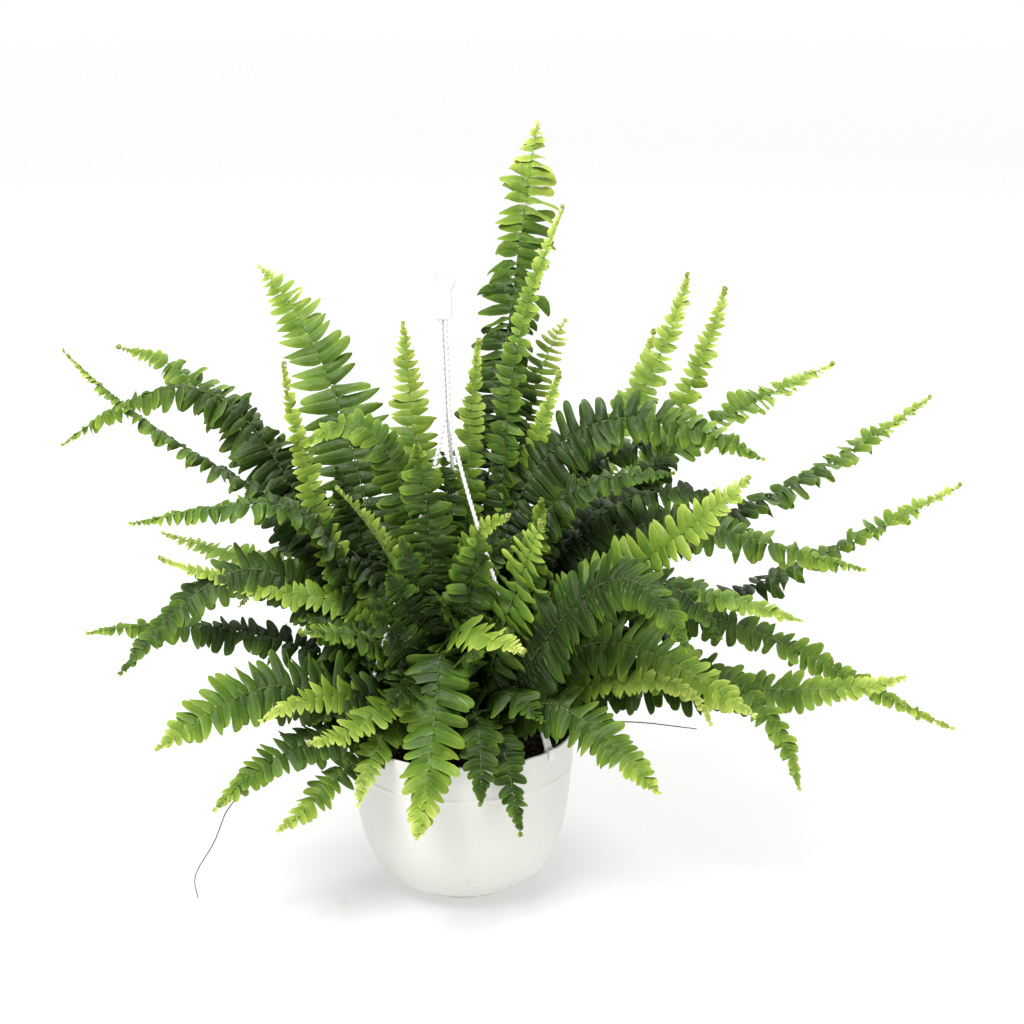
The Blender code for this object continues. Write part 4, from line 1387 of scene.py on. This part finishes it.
def add_strap(bm, path, half_width):
    """The strand's flat lower end: a strap that narrows from the clip's width to the rope's."""
    rings = []
    for i in range(STRAP_ROWS):
        ahead = (path[i + 1] - path[i]).normalized()
        across = half_width * (1 - 0.55 * (i / (STRAP_ROWS - 1)) ** 1.5)
        depth = ahead.cross(across).normalized() * STRAP_DEPTH
        at = path[i] - ahead * 1.5 * MM if i == 0 else path[i]
        corners = (at + across + depth, at - across + depth, at - across - depth, at + across - depth)
        rings.append([bm.verts.new(corner) for corner in corners])
    skin(bm, rings)


def make_strand(number, azimuth):
    """A rope from the rim to the hook, and at its foot a strap and a clip over the rim."""
    path = strand_path(azimuth)
    line = line_object(f"strand_line_{number}", path, {})
    values = {
        "Radius": 1.85 * MM,
        "Lobes": 3.0,
        "Lobe Depth": 0.16,
        "Pitch": 14 * MM,
        "Pace": 0.9 * MM,
        "Sides": 18,
        "Finish": finishes["hanger_plastic"],
    }
    node = f"hanger_strand_{number}"
    baked_piece(f"hanger_rope_{number}", line, trees["rope"], values, "hanger_plastic", node)
    discard(line)
    half_width = polar(1, azimuth + 90) * CLIP_WIDTH / 2
    outline = [polar(reach, azimuth, z) for reach, z in clip_outline()]
    bm = bmesh.new()
    skin(bm, [[bm.verts.new(corner + side * half_width) for corner in outline] for side in (-1, 1)])
    bmesh.ops.recalc_face_normals(bm, faces=bm.faces)
    bmesh.ops.bevel(bm, geom=bm.edges, offset=0.35 * MM, segments=2, profile=0.6, affect="EDGES")
    add_strap(bm, path, half_width)
    new_piece(f"hanger_clip_{number}", bm, finishes["hanger_plastic"], "hanger_plastic")


def add_box(bm, size, height):
    """A box on the hook's foot, with its middle at a height above it."""
    verts = bmesh.ops.create_cube(bm, size=1)["verts"]
    bmesh.ops.scale(bm, verts=verts, vec=size)
    bmesh.ops.translate(bm, verts=verts, vec=HOOK_FOOT + height * UP)
    return verts


def hook_path():
    """The hook's wire, up out of the block and round to its open end."""
    centre = HOOK_FOOT + 31 * MM * UP
    flat = [polar(HOOK_RADIUS, angle) for angle in range(-50, 191, 6)]
    turn = [centre + Vector((point.x, 0, point.y)) for point in flat]
    root = [turn[0] - Vector((2.8, 0, 8.5)) * MM, turn[0] - Vector((1.6, 0, 4)) * MM]
    return smooth_path(root + turn, 2)


def make_hook():
    path = hook_path()
    side = Vector((0, 1, 0))
    bm = bmesh.new()
    rings = []
    for i, point in enumerate(path):
        up = way_along(path, i).cross(side)
        # The open end is rounded over its last three rings.
        grow = 1.0 if i < len(path) - 3 else (0.95, 0.8, 0.5)[i - len(path) + 3]
        ring = []
        for k in range(HOOK_SIDES):
            angle = 2 * pi * k / HOOK_SIDES
            out = HOOK_WIRE[0] * cos(angle) * side + HOOK_WIRE[1] * sin(angle) * up
            ring.append(bm.verts.new(point + grow * out))
        rings.append(ring)
    skin(bm, rings)
    block = add_box(bm, BLOCK_SIZE, BLOCK_SIZE[2] / 2)
    edges = list({edge: None for vert in block for edge in vert.link_edges})
    bmesh.ops.bevel(bm, geom=edges, offset=1.6 * MM, segments=4, profile=0.5, affect="EDGES")
    for z in (4, 8, 12, 16):
        add_box(bm, RIB_SIZE, z * MM)
    hook = new_piece("hanger_hook_moulding", bm, finishes["hanger_plastic"], "hanger_plastic", "hanger_hook")
    smooth_by_angle(hook.data, 40)


# ---------------------------------------------------------------- runners

# Where each runner comes out of the soil.
RUNNER_FEET = {
    "runner_left": Vector((-0.050, -0.027, 0.1325)),
    "runner_right": Vector((0.040, -0.018, 0.1325)),
}
HAIRS = 26


def add_tube(bm, path, radius, sides):
    """A closed round rod along a path, with its radius a function of the share of its length."""
    side = Vector((0.3, 1, 0.2)).normalized()
    rings = []
    for i, point in enumerate(path):
        ahead = way_along(path, i)
        side = (side - ahead * side.dot(ahead)).normalized()
        up = ahead.cross(side)
        reach = radius(i / (len(path) - 1))
        angles = [2 * pi * k / sides for k in range(sides)]
        rings.append([bm.verts.new(point + reach * (cos(a) * side + sin(a) * up)) for a in angles])
    skin(bm, rings)


def runner_line(node):
    """A runner's centre line from its CAD rod: the middle of its points at each step out from its foot."""
    bm = cad_mesh(node)
    foot = RUNNER_FEET[node]
    level = [v for v in bm.verts if (v.co - foot).length < 2.2 * MM]
    level = level or [min(bm.verts, key=lambda v: (v.co - foot).length)]
    centres = [sum((v.co for v in found), Vector()) / len(found) for found in levels_from(level)]
    bm.free()
    return centres


def make_runner(node, draw):
    """A thin bare stem, a little uneven, with short fine hairs."""
    path = []
    for point in even_points(smooth_path(runner_line(node), 4), 2 * MM):
        path.append(point + Vector([draw.uniform(-0.15, 0.15) for _ in range(3)]) * MM)
    bm = bmesh.new()
    add_tube(bm, path, lambda share: 0.72 * MM * (1 - 0.45 * share), 8)
    for _ in range(HAIRS):
        at = path[draw.randrange(4, len(path) - 2)]
        way = Vector((draw.uniform(-1, 1), draw.uniform(-1, 1), draw.uniform(-1, 0.6))).normalized()
        size = draw.uniform(1.2, 3.4) * MM
        hair = [at + way * size * t - 0.25 * size * t * t * UP for t in (0, 0.35, 0.7, 1.0)]
        add_tube(bm, hair, lambda share: 0.12 * MM * (1 - 0.6 * share), 5)
    new_piece(node + "_stem", bm, finishes["runner"], "runner", node)


# ---------------------------------------------------------------- floor

TABLE_SIZE = 40
TABLE_Z = -0.3 * MM
TABLE_GREY = 0.42
TABLE_GLOW = 0.615
# Painted shadow: the table's glow is dimmed from the pot's foot out to a wider ring, where little light gets
# under the leaves.
SHADE = 0.66
SHADE_INSIDE = 50 * MM
SHADE_OUTSIDE = 180 * MM


def make_floor():
    made, tree, shader = finish("pale_table", 0.5)
    shader.inputs["Base Color"].default_value = (TABLE_GREY, TABLE_GREY, TABLE_GREY, 1)
    shader.inputs["Emission Strength"].default_value = TABLE_GLOW
    place = add(tree, "ShaderNodeTexCoord").outputs["Object"]
    away = add(tree, "ShaderNodeVectorMath", {0: place}, operation="LENGTH").outputs["Value"]
    # The glow's colour is dimmed round the pot's foot: painted shadow.
    feed(tree, shader.inputs["Emission Color"], span_of(tree, away, SHADE_INSIDE, SHADE_OUTSIDE, SHADE, 1.0))
    feed(tree, shader.inputs["Roughness"], plus(tree, times(tree, grain(tree, 3.0), 0.02), 0.03))
    bm = bmesh.new()
    bmesh.ops.create_grid(bm, x_segments=4, y_segments=4, size=TABLE_SIZE)
    bmesh.ops.translate(bm, verts=bm.verts, vec=(0, 0, TABLE_Z))
    mesh = mesh_of("table_top", bm)
    mesh.materials.append(made)
    object_of("table_top", mesh)


# ---------------------------------------------------------------- build

make_camera()
make_light()
leaf_detail_group()
finishes = {
    "leaf_mature": make_leaf_finish("leaf_mature_green", 0.0, 0.48, 1.0, 0.8, 0.26),
    "leaf_young": make_leaf_finish("leaf_young_green", 0.02, 0.48, 0.7, 0.0, 0.30),
    "leaf_dark": make_leaf_finish("leaf_dark_green", -0.03, 0.50, 1.1, 0.9, 0.18),
    "stalk": make_stalk_finish(),
    "pot_plastic": make_plastic_finish("pot_white", (0.885, 0.88, 0.825), 0.34, 0.4),
    "hanger_plastic": make_plastic_finish("hanger_white", (0.97, 0.97, 0.965), 0.40, 0.0),
    "soil": make_soil_finish(),
    "bark": make_chip_finish("bark_chip", (0.035, 0.018, 0.010), (0.17, 0.095, 0.055)),
    "grit": make_chip_finish("pale_grit", (0.45, 0.42, 0.36), (0.70, 0.68, 0.62)),
    "rhizome": make_chip_finish("crown_brown", (0.040, 0.026, 0.012), (0.15, 0.095, 0.045)),
    "scale": make_chip_finish("scale_tan", (0.10, 0.055, 0.022), (0.30, 0.19, 0.09)),
    "runner": make_chip_finish(
        "runner_bark", (0.055, 0.036, 0.022), (0.20, 0.14, 0.09), 0.25, 260.0, 900.0, 0.8, 0.2 * MM
    ),
}
trees = {"frond": frond_tree(), "strewn": strewing_tree(), "rope": rope_tree()}
forms = make_leaflet_forms()
make_main_fronds()
make_back_fronds()
make_filling_fronds()
clear_shapes(forms)
make_pot()
make_soil()
make_crown()
for number, azimuth in enumerate(CLIP_AZIMUTHS, 1):
    make_strand(number, azimuth)
make_hook()
runner_draw = Random(77)
for node in RUNNER_FEET:
    make_runner(node, runner_draw)
make_floor()
